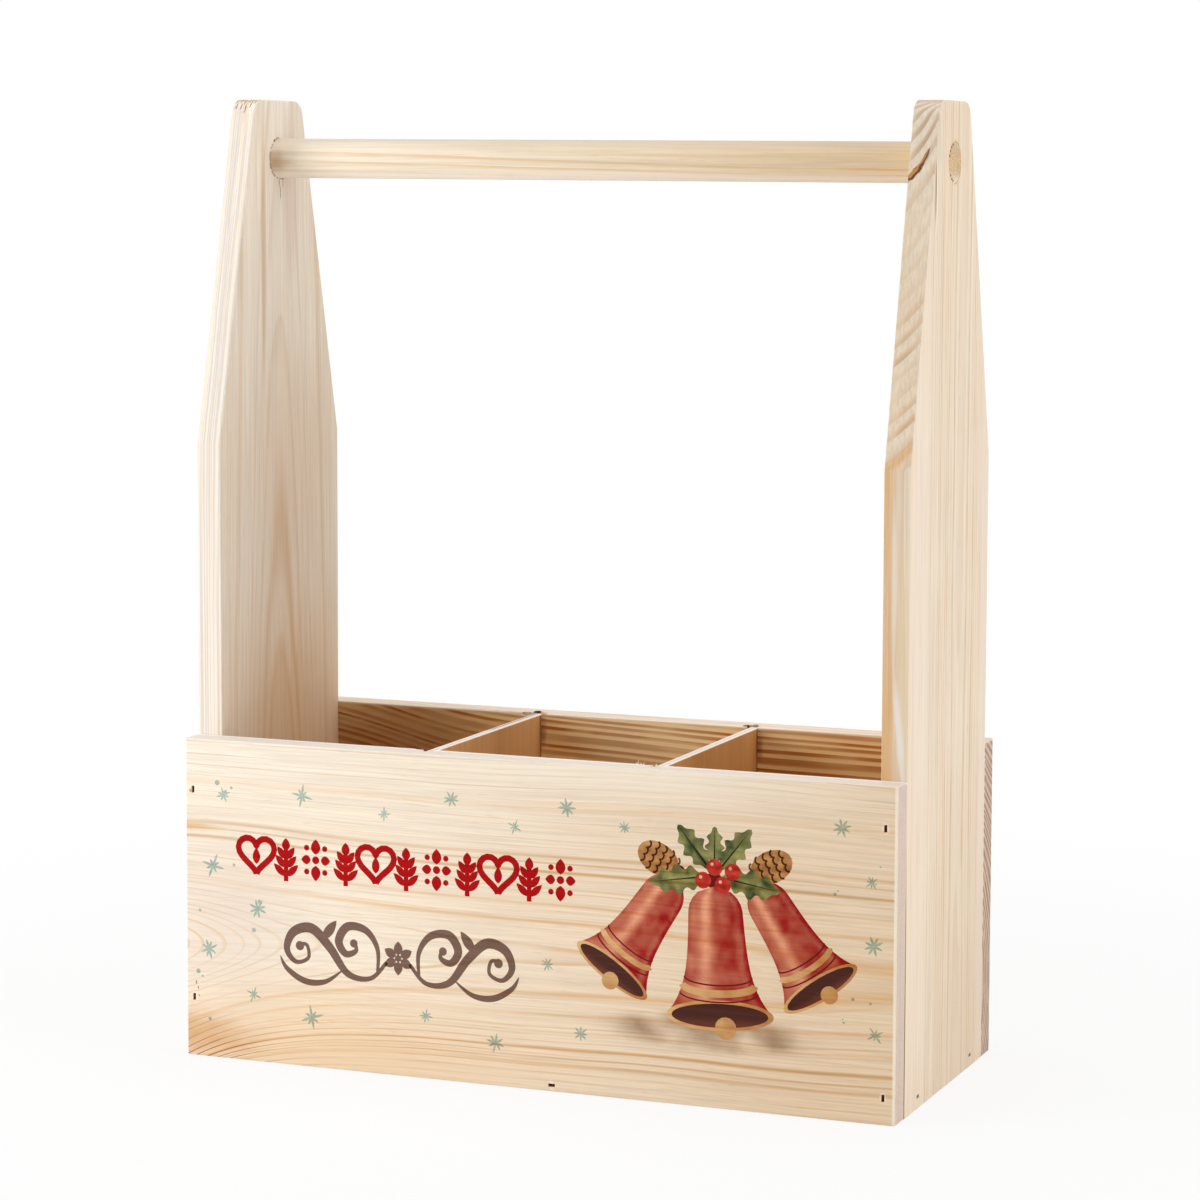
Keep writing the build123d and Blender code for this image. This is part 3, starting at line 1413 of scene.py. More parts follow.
@dataclass(frozen=True)
class TornBoard:
    """Replaces a board by a copy with torn hollows and raised splinters."""

    node: str
    gouges: tuple[Gouge, ...]
    slivers: tuple[Sliver, ...] = ()
    seed: int = 1

    def build(self, name: str) -> bpy.types.Object:
        """Cuts the hollows and adds the splinters.

        Args:
            name: the new piece's name.

        Returns:
            The torn board.
        """
        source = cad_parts[self.node]
        rng = random.Random(self.seed)
        work = bmesh.new()
        for gouge in self.gouges:
            gouge.mesh_into(work, rng)
        cutter = self.linked(work, f"{name}_cutter")
        work = bmesh.new()
        work.from_mesh(source.data)
        bmesh.ops.remove_doubles(work, verts=work.verts, dist=WELD)
        board = self.linked(work, name)
        cut = board.modifiers.new("torn", "BOOLEAN")
        cut.operation, cut.solver, cut.object, cut.use_self = "DIFFERENCE", "EXACT", cutter, True
        made = bpy.data.meshes.new_from_object(board.evaluated_get(bpy.context.evaluated_depsgraph_get()))
        board.modifiers.clear()
        bpy.data.objects.remove(cutter)
        log.info("%s: %d faces, torn in %d places", name, len(made.polygons), len(self.gouges))
        work = bmesh.new()
        work.from_mesh(made)
        for sliver in self.slivers:
            sliver.mesh_into(work)
        work.to_mesh(made)
        work.free()
        shade_board(made)
        made.materials.clear()
        board.data = made
        return board

    def linked(self, work: bmesh.types.BMesh, name: str) -> bpy.types.Object:
        """An object made of a bare mesh.

        Args:
            work: the mesh, which is freed.
            name: the object's name.

        Returns:
            The object.
        """
        mesh = bpy.data.meshes.new(name)
        work.to_mesh(mesh)
        work.free()
        made = bpy.data.objects.new(name, mesh)
        bpy.context.collection.objects.link(made)
        return made


@dataclass(frozen=True)
class PrintedFace:
    """Rebuilds a board's front face so that it carries the print as inked regions of the same surface.

    front is where the face lies along Y, in millimetres.
    """

    layers: list[Layer]
    front: float

    # What the triangulation is asked for: only what lies inside an outline.
    INSIDE_ONLY = 1

    # How far off a corner may be, in millimetres: from the plane, and from another corner in it.
    OFF_PLANE = 0.01
    SAME_PLACE = 1e-5

    def build(self, source: bpy.types.Object, name: str) -> bpy.types.Object:
        """Copies a board and prints on its front face.

        Args:
            source: the board's CAD object.
            name: the new piece's name.

        Returns:
            The printed board.
        """
        work = bmesh.new()
        work.from_mesh(source.data)
        bmesh.ops.remove_doubles(work, verts=work.verts, dist=WELD)
        face = [f for f in work.faces if f.normal.y < -0.99 and self.in_plane(f.verts)]
        bmesh.ops.delete(work, geom=face, context="FACES_ONLY")
        rims = self.rims(work)
        layer = work.loops.layers.float_color.new(FrontPrint.LAYER)
        for old in work.faces:
            for corner in old.loops:
                corner[layer] = WHITE
        self.fill(work, rims, layer)
        made = bpy.data.meshes.new(name)
        work.to_mesh(made)
        work.free()
        shade_board(made)
        board = bpy.data.objects.new(name, made)
        bpy.context.collection.objects.link(board)
        log.info("%s: %d faces on the printed side", name, len(made.polygons))
        return board

    def in_plane(self, verts: Iterable[bmesh.types.BMVert]) -> bool:
        """Whether corners all lie in the front plane."""
        return all(abs(v.co.y / MM - self.front) < self.OFF_PLANE for v in verts)

    def rims(self, work: bmesh.types.BMesh) -> list[list[bmesh.types.BMVert]]:
        """The closed rims left open in the front plane, the longest first.

        Args:
            work: the board's mesh, with its front face taken out.

        Returns:
            The corners of each rim.
        """
        edges = {e for e in work.edges if e.is_boundary and self.in_plane(e.verts)}
        found = []
        while edges:
            edge = edges.pop()
            start, here = edge.verts
            rim = [start]
            while here is not start:
                rim.append(here)
                edge = next(e for e in here.link_edges if e in edges)
                edges.remove(edge)
                here = edge.other_vert(here)
            found.append(rim)
        return sorted(found, key=lambda rim: -sum((a.co - b.co).length for a, b in zip(rim, rim[1:])))

    def fill(self, work: bmesh.types.BMesh, rims: list[list[bmesh.types.BMVert]],
             layer: bmesh.types.BMLayerItem) -> None:
        """Fills the front plane inside its rims with inked triangles.

        Args:
            work: the board's mesh.
            rims: the outer rim, then the rims of the holes.
            layer: where the ink of each corner goes.
        """
        places: list[Vector] = []
        faces: list[list[int]] = []

        def outline_face(outline: list[Point]) -> None:
            """Adds one closed outline.

            Args:
                outline: its points, in millimetres.
            """
            numbers = list(range(len(places), len(places) + len(outline)))
            places.extend(Vector(point) for point in outline)
            faces.append(numbers if area(outline) > 0 else numbers[::-1])

        for rim in rims:
            outline_face([(v.co.x / MM, v.co.z / MM) for v in rim])
        rim_verts = [v for rim in rims for v in rim]
        owner = [-1] * len(rims)
        for number, printed in enumerate(self.layers):
            for outline in printed.outlines:
                outline_face(outline)
                owner.append(number)
            places += self.shading_points(printed)
        cut = geometry.delaunay_2d_cdt(places, [], faces, self.INSIDE_ONLY, self.SAME_PLACE)
        points, _, triangles, from_points, _, from_faces = cut
        verts = []
        for point, sources in zip(points, from_points):
            on_rim = next((rim_verts[s] for s in sources if s < len(rim_verts)), None)
            verts.append(on_rim or work.verts.new(metres((point.x, self.front, point.y))))
        holes = set(range(1, len(rims)))
        for triangle, sources in zip(triangles, from_faces):
            if holes.intersection(sources):
                continue
            inks = [self.layers[n].ink for n in sorted({owner[s] for s in sources} - {-1})]
            made = work.faces.new([verts[i] for i in triangle])
            for corner in made.loops:
                x, z = corner.vert.co.x / MM, corner.vert.co.z / MM
                corner[layer] = (*self.mixed(inks, x, z), 1.0)

    def mixed(self, inks: list[Ink], x: float, z: float) -> Colour:
        """The light that a stack of inks lets through at a place.

        Args:
            inks: the inks, the lowest first.
            x: the place along the board, in millimetres.
            z: the place up it.

        Returns:
            The light, in linear light.
        """
        light = (1.0, 1.0, 1.0)
        for ink in inks:
            under = (1.0, 1.0, 1.0) if ink.covers else light
            light = tuple(a * b for a, b in zip(under, ink.at(x, z)))
        return light

    def shading_points(self, printed: Layer) -> list[Vector]:
        """Jittered points over a shaded wash, so that its depth can change inside it.

        Args:
            printed: the layer.

        Returns:
            The points, none for a plain ink.
        """
        step = printed.ink.grain
        if not step:
            return []
        rng = random.Random(len(printed.outlines[0]))
        points = []
        for outline in printed.outlines:
            xs, zs = zip(*outline)
            for i in range(int((max(xs) - min(xs)) / step) + 1):
                for k in range(int((max(zs) - min(zs)) / step) + 1):
                    x = min(xs) + step * (i + rng.uniform(0.2, 0.8))
                    z = min(zs) + step * (k + rng.uniform(0.2, 0.8))
                    if inside((x, z), outline):
                        points.append(Vector((x, z)))
        return points


class Assembly:
    """A sub-assembly that dresses or replaces CAD nodes of the carrier."""

    def stand_in(self, board: bpy.types.Object, node: str, material: bpy.types.Material) -> None:
        """Shows a finished board in place of its CAD node.

        Args:
            board: the new board.
            node: the CAD node that it replaces.
            material: its finish.
        """
        board.data.materials.clear()
        board.data.materials.append(material)
        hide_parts(node)
        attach(board, "carrier")
        log.info("%s stands in for %s", board.name, node)

    def dress_node(self, name: str, material: bpy.types.Material) -> None:
        """Gives one CAD node its finish.

        Args:
            name: the node's name.
            material: its finish.
        """
        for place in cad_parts[name].material_slots:
            place.material = material
        log.info("%s takes %s", name, material.name)

    def torn_at(self, brads: Iterable[Place]) -> tuple[Mark, ...]:
        """The pale torn wood round brads, given by their places on the face they were shot into."""
        return tuple(Mark(brad, (1.9, 2.0, 2.6), (255, 240, 222), 0.6, soft=0.7, ragged=0.5)
                     for brad in brads)


@dataclass
class LowBoards(Assembly):
    """The printed front board and the plain back board, torn a little at their grooves' mouths.

    The colours, in turn, are painted shade with the torn wood's tone inside the front's left and
    right mouths and in the brads' slots, the torn wood in the chips beside them, and painted
    shade with the wood's tone in the back's two kinds of hollow.
    """

    front: float = box("front_board")[0][1]
    right: float = box("front_board")[1][0]
    top: float = box("front_board")[1][2]
    front_inner: float = box("front_board")[1][1]
    left_mouth_shade: Colour = (50, 21, 7)
    right_mouth_shade: Colour = (176, 120, 70)
    slot_shade: Colour = (74, 36, 14)
    chip_colour: Colour = (176, 130, 92)
    deep_hollow_shade: Colour = (92, 50, 26)
    shallow_hollow_shade: Colour = (140, 98, 66)
    front_finish: Pine = Pine(
        Grain.ALONG_X, (-52, 49), (0.02, 0.0), (12, 3), -150, 45, ring=2.2,
        early=(249, 237, 220), late=(218, 174, 122), contrast=0.62, onset=0.7, heart_share=0.17,
        # fade darkens and warms the right end, partly the wood's own tone and partly painted shade where the
        # lamps' light falls off.
        fade=(240, 228, 212), seed=3.0, printed=True,
        swells=(Swell((-158, front, 0.0), (0.0, -16), 30),),
        bands=(Band(41.5, 1.0, (212, 170, 112), 0.85),
               Band(44.6, 0.6, (212, 170, 112), 0.65),
               Band(47.0, 1.1, (214, 170, 116), 0.6),
               Band(26.5, 0.9, (230, 184, 122), 0.6),
               Band(31.0, 0.8, (230, 184, 122), 0.5),
               Band(36.0, 0.7, (232, 188, 128), 0.4),
               Band(64.0, 2.5, (242, 208, 168), 0.4)),
        # Broad tints of the face, the second painted shade that dims the key lamp's bright patch on the left,
        # and the hard lines along its lower edge.
        marks=(Mark((-85, front, 6), (150, 12, 44), (236, 198, 148), 0.55, soft=0.95, ragged=0.1),
               Mark((-132, front, 60), (60, 12, 56), (224, 206, 189), 0.55, soft=0.95, ragged=0.1),
               Mark((-150, front, 9), (46, 12, 14), (210, 156, 98), 0.65, soft=0.9, ragged=0.4, grit=2.5),
               Mark((-150, front, 4), (90, 12, 17), (156, 90, 38), 0.85, soft=0.9, rings=1.0),
               Mark((-40, front, 14), (90, 12, 13), (196, 136, 76), 0.5, soft=0.9, rings=1.0),
               Mark((-146, front, 60), (44, 12, 30), (226, 186, 138), 0.45, soft=0.8, rings=1.0),
               Mark((50, front, 127), (120, 3, 16), (252, 244, 228), 0.4, soft=0.9),
               Mark((-150, front, 93.6), (21, 3, 2.4), (218, 166, 104), 0.7, soft=0.9, ragged=0.4, grit=2.0),
               # The right end's face, then the top edge, with a painted highlight along its inner rim.
               Mark((right, -56.5, 64), (0.5, FAR, FAR), (222, 208, 202), 0.62, soft=0.4, ragged=0.1),
               Mark((right, -57.3, 30), (0.5, 0.5, 92), (196, 172, 152), 0.6, soft=0.8),
               Mark((right, front_inner, 26), (0.5, 0.7, 92), (150, 122, 92), 0.8, soft=0.5, ragged=0.1),
               Mark((right - 0.5, front, 64), (0.9, 0.7, FAR), (250, 238, 216), 0.8, soft=0.6, ragged=0.1),
               Mark((0.0, -56.5, top + 0.5), (FAR, 50, 1.0), (240, 231, 224), 0.7, soft=0.4, ragged=0.02),
               Mark((0.0, -50.6, top + 0.4), (FAR, 4.2, 1.6), (255, 255, 253), 1.0, soft=0.6, ragged=0.1),
               Mark((44.5, -51.6, top + 2.4), (8, 3, 2.6), (255, 240, 206), 1.0, soft=0.3)))
    back_pine_and_shade: Pine = Pine(
        # Its colours, warmer and darker than the pine, paint the shade and warm bounce light inside the box.
        Grain.ALONG_X, (-4, 44), (-0.01, -0.02), (0.0, -10), -112, 40, ring=2.75,
        early=(255, 224, 168), late=(196, 122, 50), heart=(244, 190, 112), contrast=1.35, onset=0.3,
        ripe=0.62, even=0.5, heart_share=0.5, wander=2.0, seed=12.0, end_colour=(208, 194, 188),
        # Painted shade and painted light in the three bays, then the outer face, the right end and the top
        # edge.
        marks=(Mark((-112, 50.6, 106), (72, 1.6, 46), (146, 78, 28), 0.66, soft=0.7, ragged=0.1),
               Mark((6, 50.8, 116), (44, 1.6, 40), (255, 232, 184), 0.48, soft=0.6, ragged=0.1),
               Mark((98, 50.8, 108), (52, 1.6, 44), (234, 158, 80), 0.3, soft=0.6, ragged=0.1),
               Mark((46, 50.8, 102), (106, 1.6, 56), (154, 78, 26), 0.36, soft=0.4, ragged=0.1, rings=1.0),
               Mark((0.0, 66, 64), (FAR, 5, FAR), (246, 230, 208), 0.72, soft=0.3, ragged=0.02),
               Mark((right, 56.5, 64), (0.6, FAR, FAR), (210, 188, 174), 0.6, soft=0.4, ragged=0.1),
               Mark((right, 56.5, 64), (0.6, FAR, FAR), (126, 94, 72), 0.55, soft=0.4, rings=1.0),
               Mark((0.0, 56, top + 2), (FAR, 50, 4), (250, 234, 222), 0.85, soft=0.6, ragged=0.02),
               Mark((0.0, 50.8, top + 0.4), (FAR, 2.2, 1.4), (255, 242, 214), 0.8, soft=0.6, ragged=0.1),
               Mark((0.0, 62.2, top + 0.2), (FAR, 1.8, 1.4), (196, 180, 176), 0.5, soft=0.6, ragged=0.1)))
    back_groove_marks: tuple[Mark, ...] = (
        Mark((-43.8, 52.0, top), (2.2, 2.0, 1.4), (224, 164, 94), 0.9),
        Mark((-43.8, 51, 121), (2.4, 2, 9), (120, 68, 28), 0.55, soft=0.9),
        Mark((53.2, 51, 121), (2.4, 2, 9), (120, 68, 28), 0.55, soft=0.9))
    front_brads: tuple[Place, ...] = (
        (-146.8, front, 24), (-146.8, front, 108.5), (145.2, front, 10.5), (145.2, front, 113),
        (9.8, front, 2.4))

    def build(self) -> None:
        """Tears and prints the front board, tears the back board and dresses both."""
        torn_front = TornBoard("front_board", self.front_gouges() + self.brad_gouges() + self.chips(),
                               self.front_slivers(), seed=4).build("torn_front")
        printed = PrintedFace(FrontPrint().draw(), self.front).build(torn_front, "printed_front")
        bpy.data.objects.remove(torn_front)
        front_marks = (*self.front_finish.marks, *self.torn_at(self.front_brads), *self.mouth_shading(),
                       *(g.tone_and_shade(self.slot_shade, 0.9) for g in self.brad_gouges()),
                       *(g.tone_and_shade(self.chip_colour, 0.8) for g in self.chips()))
        front_finish = replace(self.front_finish, marks=front_marks)
        self.stand_in(printed, "front_board", front_finish.dress("printed_pine"))
        torn_back = TornBoard("back_board", self.back_gouges(), seed=9).build("torn_back")
        deep, shallow = self.back_gouges()[::2], self.back_gouges()[1::2]
        back_marks = (*self.back_pine_and_shade.marks, *(g.tone_and_shade(self.deep_hollow_shade, 1.0, 1.3) for g in deep),
                      *(g.tone_and_shade(self.shallow_hollow_shade) for g in shallow), *self.back_groove_marks)
        back_pine_and_shade = replace(self.back_pine_and_shade, marks=back_marks)
        self.stand_in(torn_back, "back_board", back_pine_and_shade.dress("striped_pine_and_shade"))

    def mouth_shading(self) -> tuple[Mark, ...]:
        """Painted shade with the torn wood's tone at the mouths of the grooves: dark at the left one, brown
        at the right one.
        """
        left, *right = self.front_gouges()
        return (left.tone_and_shade(self.left_mouth_shade, 1.0, 1.4), *(gouge.tone_and_shade(self.right_mouth_shade) for gouge in right))

    def brad_gouges(self) -> tuple[Gouge, ...]:
        """The ragged bent slots that the brads' heads left in the front face: two hollows at each.

        The lowest brad's slot lies flat, and the others stand.

        Returns:
            The hollows.
        """
        made = []
        for x, y, z in self.front_brads:
            flat = z < 5
            across, up = (0.85, 0.5) if flat else (0.5, 0.8)
            for way in (-1, 1):
                off = (0.65 * way, -0.12 * abs(way - 1)) if flat else (0.14 * way, 0.6 * way)
                made.append(Gouge((x + off[0], y, z + off[1]), (across, 0.5, up)))
        return tuple(made)

    def chips(self) -> tuple[Gouge, ...]:
        """The small torn spots above the lower left brad and beside the upper one.

        Returns:
            The hollows.
        """
        return tuple(Gouge((x, self.front, z), (wide, 0.35, high))
                     for x, z, wide, high in ((-145.9, 29.9, 0.35, 0.9), (-145.0, 27.7, 0.3, 0.6),
                                              (-144.6, 24.6, 0.3, 0.35), (-148.0, 107.8, 0.5, 0.8)))

    def front_gouges(self) -> tuple[Gouge, ...]:
        """The hollows at the mouths of the front board's grooves.

        Returns:
            The hollows, the left groove's first.
        """
        return (Gouge((-50.8, self.front_inner, self.top), (2.4, 1.3, 1.6)),
                Gouge((45.9, self.front_inner, self.top), (2.5, 1.5, 1.5)),
                Gouge((42.6, self.front_inner, self.top), (1.6, 0.8, 0.7)))

    def front_slivers(self) -> tuple[Sliver, ...]:
        """The splinters that stand up left of the front board's right groove, the second the tallest.

        Returns:
            The splinters.
        """
        rng = random.Random(5)
        made = []
        for i in range(15):
            x = 40.6 + 0.6 * i
            high = 2.1 if i == 1 else rng.uniform(0.5, 1.3)
            tip = (x + rng.uniform(-0.5, 0.5), -51.5 + rng.uniform(-0.3, 0.5), self.top + high)
            made.append(Sliver((x, -51.9, self.top - 0.8), tip, rng.uniform(0.5, 0.8)))
        return tuple(made)

    def back_gouges(self) -> tuple[Gouge, ...]:
        """The hollows at the mouths of the back board's grooves: a deep one and a shallow one at each.

        Returns:
            The hollows.
        """
        return (Gouge((-48.3, 55.7, self.top), (1.4, 1.8, 1.7)),
                Gouge((-51.3, 51.4, self.top - 0.2), (2.1, 1.4, 1.0)),
                Gouge((46.7, 53.4, self.top), (1.4, 2.0, 1.7)),
                Gouge((49.8, 56.2, self.top), (1.2, 1.6, 1.6)))


@dataclass
class EndBoards(Assembly):
    """The two tall tapered ends, the left one torn at its crown and round the rod's hole.

    crown_y and crown_radius give the rounding of its front upper corner, and the colours paint
    the torn wood's tone with the shade of the hollows inside the tears there, in the hole's rim and in the
    crack below it.
    """

    inner: float = box("left_end_board")[1][0]
    outer: float = box("right_end_board")[1][0]
    edge: float = box("right_end_board")[0][1]
    top: float = box("left_end_board")[1][2]
    rod_z: float = (box("handle_rod")[0][2] + box("handle_rod")[1][2]) / 2
    crown_y: float = -13.92
    crown_radius: float = 7.0
    crown_tear_shade: Colour = (170, 142, 124)
    rim_shade: Colour = (84, 62, 44)
    crack_shade: Colour = (140, 104, 74)
    left_finish: Pine = Pine(
        Grain.ALONG_Z, (-100, 0.0), (0.028, 0.0), ring=1.9, early=(248, 236, 219),
        late=(216, 180, 144), heart=(238, 210, 174), contrast=0.5, onset=0.5, seed=21.0, wander=1.2,
        side=(231, 233, 243),
        bands=(Band(45.6, 0.8, (224, 180, 132), 0.6), Band(44.0, 0.5, (222, 178, 128), 0.5),
               Band(58.0, 1.2, (226, 188, 142), 0.45)),
        # The inner face painted warmer and darker towards the bottom, for the shade and warm bounce light
        # inside the box, then a tan line, a patch by the hole, and a painted highlight round the hole's rim.
        marks=(Mark((inner, 10, 120), (6, 90, 90), (242, 184, 104), 0.42, soft=0.95, ragged=0.1),
               Mark((inner, 0.0, 235), (3, 60, 75), (228, 194, 158), 0.35, soft=0.9),
               Mark((inner, -14.0, 322), (2, 3.0, 75), (214, 176, 134), 0.6, soft=0.7, ragged=0.1),
               Mark((inner, 9, 345), (2, 9, 50), (224, 198, 180), 0.5, soft=0.8),
               Mark((inner, 0.0, rod_z), (1.5, 9.7, 9.7), (252, 242, 230), 0.6, soft=0.2, ragged=0.12)))
    right_finish: Pine = Pine(
        Grain.ALONG_Z, (131, 13), ring=1.8, early=(236, 221, 200), late=(202, 152, 98),
        heart=(230, 198, 154), contrast=0.8, onset=0.3, seed=33.0, wander=1.6,
        bands=(Band(64.9, 1.1, (224, 176, 118), 0.85),),
        # The crown, pale scars on the front edge, the outer face, then a brown flaw in the slope.
        marks=(Mark((144.8, -20, 372), (8, 12, 24), (150, 110, 78), 0.42, soft=0.8, rings=1.0),
               Mark((144.8, -14, 384), (8, 9, 6), (226, 202, 190), 0.6, soft=0.7),
               Mark((147.5, edge, 170), (2.4, 2, 90), (236, 212, 172), 0.5, soft=0.8, ragged=0.3),
               Mark((142.0, edge, 140), (3.6, 3, 30), (228, 190, 142), 0.4, slant=-0.06, soft=0.8),
               Mark((143.8, edge, 205), (1.5, 3, 52), (240, 231, 223), 0.6, soft=0.7, ragged=0.6),
               Mark((146.3, edge, 148), (2.0, 3, 32), (238, 230, 223), 0.85, slant=-0.094,
                    soft=0.7, ragged=0.4),
               Mark((outer, 0.0, rod_z - 0.2), (1.0, 9.4, 10.2), (222, 190, 142), 0.55, soft=0.25,
                    ragged=0.3, grit=3.0),
               Mark((outer, -42, 200), (0.5, 24, FAR), (246, 232, 218), 0.45, soft=0.9),
               Mark((outer, 47, 200), (0.5, 14, FAR), (238, 220, 208), 0.45, soft=0.9),
               Mark((outer, 22, 10), (0.5, 60, 130), (212, 190, 160), 0.3, soft=0.9),
               Mark((outer, -48.6, 120), (0.5, 2.4, 190), (240, 222, 192), 0.8, soft=0.5),
               Mark((outer, edge, 26), (0.5, 0.7, 92), (116, 88, 56), 0.85, soft=0.4, ragged=0.1),
               Mark((145.7, -25, 361.9), (1.0, 6, 4.6), (116, 68, 32), 0.9,
                    slant=0.44, soft=0.4, ragged=0.5, grit=3.0),
               Mark((142.0, -26, 356.4), (2.0, 6, 4.4), (96, 54, 24), 0.95,
                    slant=0.84, soft=0.35, ragged=0.6, grit=3.0),
               Mark((145.4, -25, 362.2), (0.6, 6, 3.8), (196, 138, 72), 0.85,
                    slant=0.44, soft=0.6, ragged=0.6, grit=3.0),
               Mark((141.5, -26, 356.6), (1.3, 6, 3.7), (206, 148, 78), 0.9,
                    slant=0.84, soft=0.6, ragged=0.8, grit=3.0),
               Mark((outer, -22.4, 349), (1.0, 1.5, 17), (250, 238, 222), 0.6),
               Mark((outer, -23.7, 350), (1.2, 0.7, 16), (100, 62, 34), 1.0, soft=0.5, ragged=0.15)))

    def build(self) -> None:
        """Tears the left end and dresses both ends."""
        crown, rim, crack = self.crown_gouges(), self.rim_gouges(), self.crack_gouges()
        torn = TornBoard("left_end_board", crown + rim + crack, seed=3).build("torn_left_end")
        marks = (*self.left_finish.marks, *(g.tone_and_shade(self.crown_tear_shade, 0.7) for g in crown),
                 *(g.tone_and_shade(self.rim_shade, 0.85) for g in rim),
                 *(g.tone_and_shade(self.crack_shade, 0.85) for g in crack))
        self.stand_in(torn, "left_end_board", replace(self.left_finish, marks=marks).dress("left_end_pine"))
        self.dress_node("right_end_board", self.right_finish.dress("right_end_pine"))

    def crown_gouges(self) -> tuple[Gouge, ...]:
        """Thin tears over the rounded front corner of the left end: places along X, and how far round.

        Returns:
            The hollows.
        """
        middle_z, radius = self.top - self.crown_radius, self.crown_radius
        made = []
        for x, round_by in ((-149.2, 62), (-148.2, 40), (-147.2, 70), (-146.2, 36), (-145.3, 58),
                            (-144.1, 30), (-143.4, 74), (-142.2, 48), (-140.8, 66)):
            turn = math.radians(round_by)
            y, z = self.crown_y - radius * math.cos(turn), middle_z + radius * math.sin(turn)
            made.append(Gouge((x, y, z), (0.26, 0.5, 2.8), -turn))
        return tuple(made)

    def rim_gouges(self) -> tuple[Gouge, ...]:
        """The chipped rim of the rod's hole in the left end.

        Returns:
            The hollows.
        """
        rng = random.Random(14)
        made = []
        for degrees in (97, 106, 118, 124, 141, 152, 166, 175, 184, 198, 207, 222, 231, 240, 256):
            turn = math.radians(degrees)
            far = rng.uniform(8.0, 8.3)
            made.append(Gouge((self.inner, far * math.cos(turn), self.rod_z + far * math.sin(turn)),
                              (1.4, rng.uniform(0.25, 0.55), rng.uniform(0.5, 0.9))))
        return tuple(made)

    def crack_gouges(self) -> tuple[Gouge, ...]:
        """The crack below the rod's hole in the left end.

        Returns:
            The hollows.
        """
        return (Gouge((self.inner, -0.2, 350.6), (1.0, 0.28, 2.6)),
                Gouge((self.inner, 0.9, 346.6), (0.9, 0.22, 3.4)),
                Gouge((self.inner, 2.9, 350.4), (0.6, 0.16, 2.2)),
                Gouge((self.inner, 2.2, 352.1), (0.7, 2.0, 0.22)))


@dataclass
class Bottom(Assembly):
    """The board that the bottles stand on."""

    finish: Pine = Pine(Grain.ALONG_X, (20, -40), (0.03, 0.02), ring=4.0, contrast=0.6, seed=41.0,
                        early=(244, 222, 184))

    def build(self) -> None:
        """Dresses the bottom."""
        self.dress_node("bottom_board", self.finish.dress("bottom_pine"))


@dataclass
class Handle(Assembly):
    """The round rod through both ends. Chips lie along the rim of its right end."""

    corners: Box = box("handle_rod")
    chip_radius: float = 7.3
    chip_turns: tuple[float, ...] = (112, 127, 143, 160, 222, 238, 251)
    finish: Pine = Pine(
        Grain.ALONG_X, (16, 338), (0.01, -0.012), ring=2.7, early=(250, 237, 217),
        late=(226, 182, 122), heart=(240, 208, 156), contrast=0.6, heart_share=0.4,
        # fade darkens and warms the right end, partly the wood's own tone and partly painted shade where the
        # lamps' light falls off.
        fade=(232, 218, 196), wander=1.2, end_colour=(255, 246, 226), seed=52.0,
        # A brown patch by the left end's hole, part stain and part painted shade, then painted shade over the
        # top of the rod and painted light from the floor under it.
        marks=(Mark((-137, -5, 359), (8, 9, 6.5), (190, 142, 92), 0.65, soft=0.85),
               Mark((0.0, 0.0, 369.5), (FAR, 50, 6), (210, 194, 178), 0.65, soft=0.9, ragged=0.05),
               Mark((0.0, 0.0, 351.0), (FAR, 50, 7), (255, 250, 244), 0.55, soft=0.8, ragged=0.05)))

    def build(self) -> None:
        """Dresses the rod."""
        finish = replace(self.finish, marks=(*self.finish.marks, *self.end_chips()))
        self.dress_node("handle_rod", finish.dress("rod_pine"))

    def end_chips(self) -> tuple[Mark, ...]:
        """The dark chips along the rim of the rod's right end.

        Returns:
            The marks.
        """
        low, high = self.corners
        axis_z = (low[2] + high[2]) / 2
        marks = []
        for degrees in self.chip_turns:
            turn = math.radians(degrees)
            y, z = self.chip_radius * math.cos(turn), axis_z + self.chip_radius * math.sin(turn)
            marks.append(Mark((high[0], y, z), (1.2, 1.1, 0.7), (120, 88, 50), 0.85))
        return tuple(marks)


@dataclass
class Dividers(Assembly):
    """The two loose plywood dividers."""

    left: Box = box("left_divider")
    right: Box = box("right_divider")

    def build(self) -> None:
        """Dresses both dividers."""
        left = replace(self.sheet(self.left, 2.0), glue_from=4)
        right = replace(self.sheet(self.right, 6.0), face=(231, 177, 115), face_dark=(209, 147, 87))
        self.dress_node("left_divider", left.dress("left_plywood"))
        self.dress_node("right_divider", right.dress("right_plywood"))

    def sheet(self, corners: Box, seed: float) -> Plywood:
        """Plywood whose layers lie where a divider with these corners is."""
        low, high = corners
        return Plywood((low[0] + high[0]) / 2, high[0] - low[0], seed)


@dataclass
class Brads(Assembly):
    """The wire brads, sunk below the faces."""

    groups: tuple[str, ...] = ("front_brads", "back_brads", "left_end_brads", "right_end_brads")
    steel: BradSteel = BradSteel()

    def build(self) -> None:
        """Dresses all the brads."""
        wire = self.steel.dress("brad_wire")
        for group in self.groups:
            self.dress_node(group, wire)


@dataclass(frozen=True)
class Lamp:
    """One soft square lamp: its place and aim in metres, its side and its power."""

    name: str
    place: Place
    aim: Place
    side: float
    power: float
    colour: Colour = (255, 255, 255)

    def hang(self) -> None:
        """Puts the lamp in the scene."""
        data = bpy.data.lights.new(self.name, "AREA")
        data.size = self.side
        data.energy = self.power
        data.color = linear(self.colour)
        lamp = bpy.data.objects.new(self.name, data)
        lamp.visible_camera = False
        lamp.location = self.place
        lamp.rotation_euler = (Vector(self.aim) - Vector(self.place)).to_track_quat("-Z", "Y").to_euler()
        bpy.context.collection.objects.link(lamp)


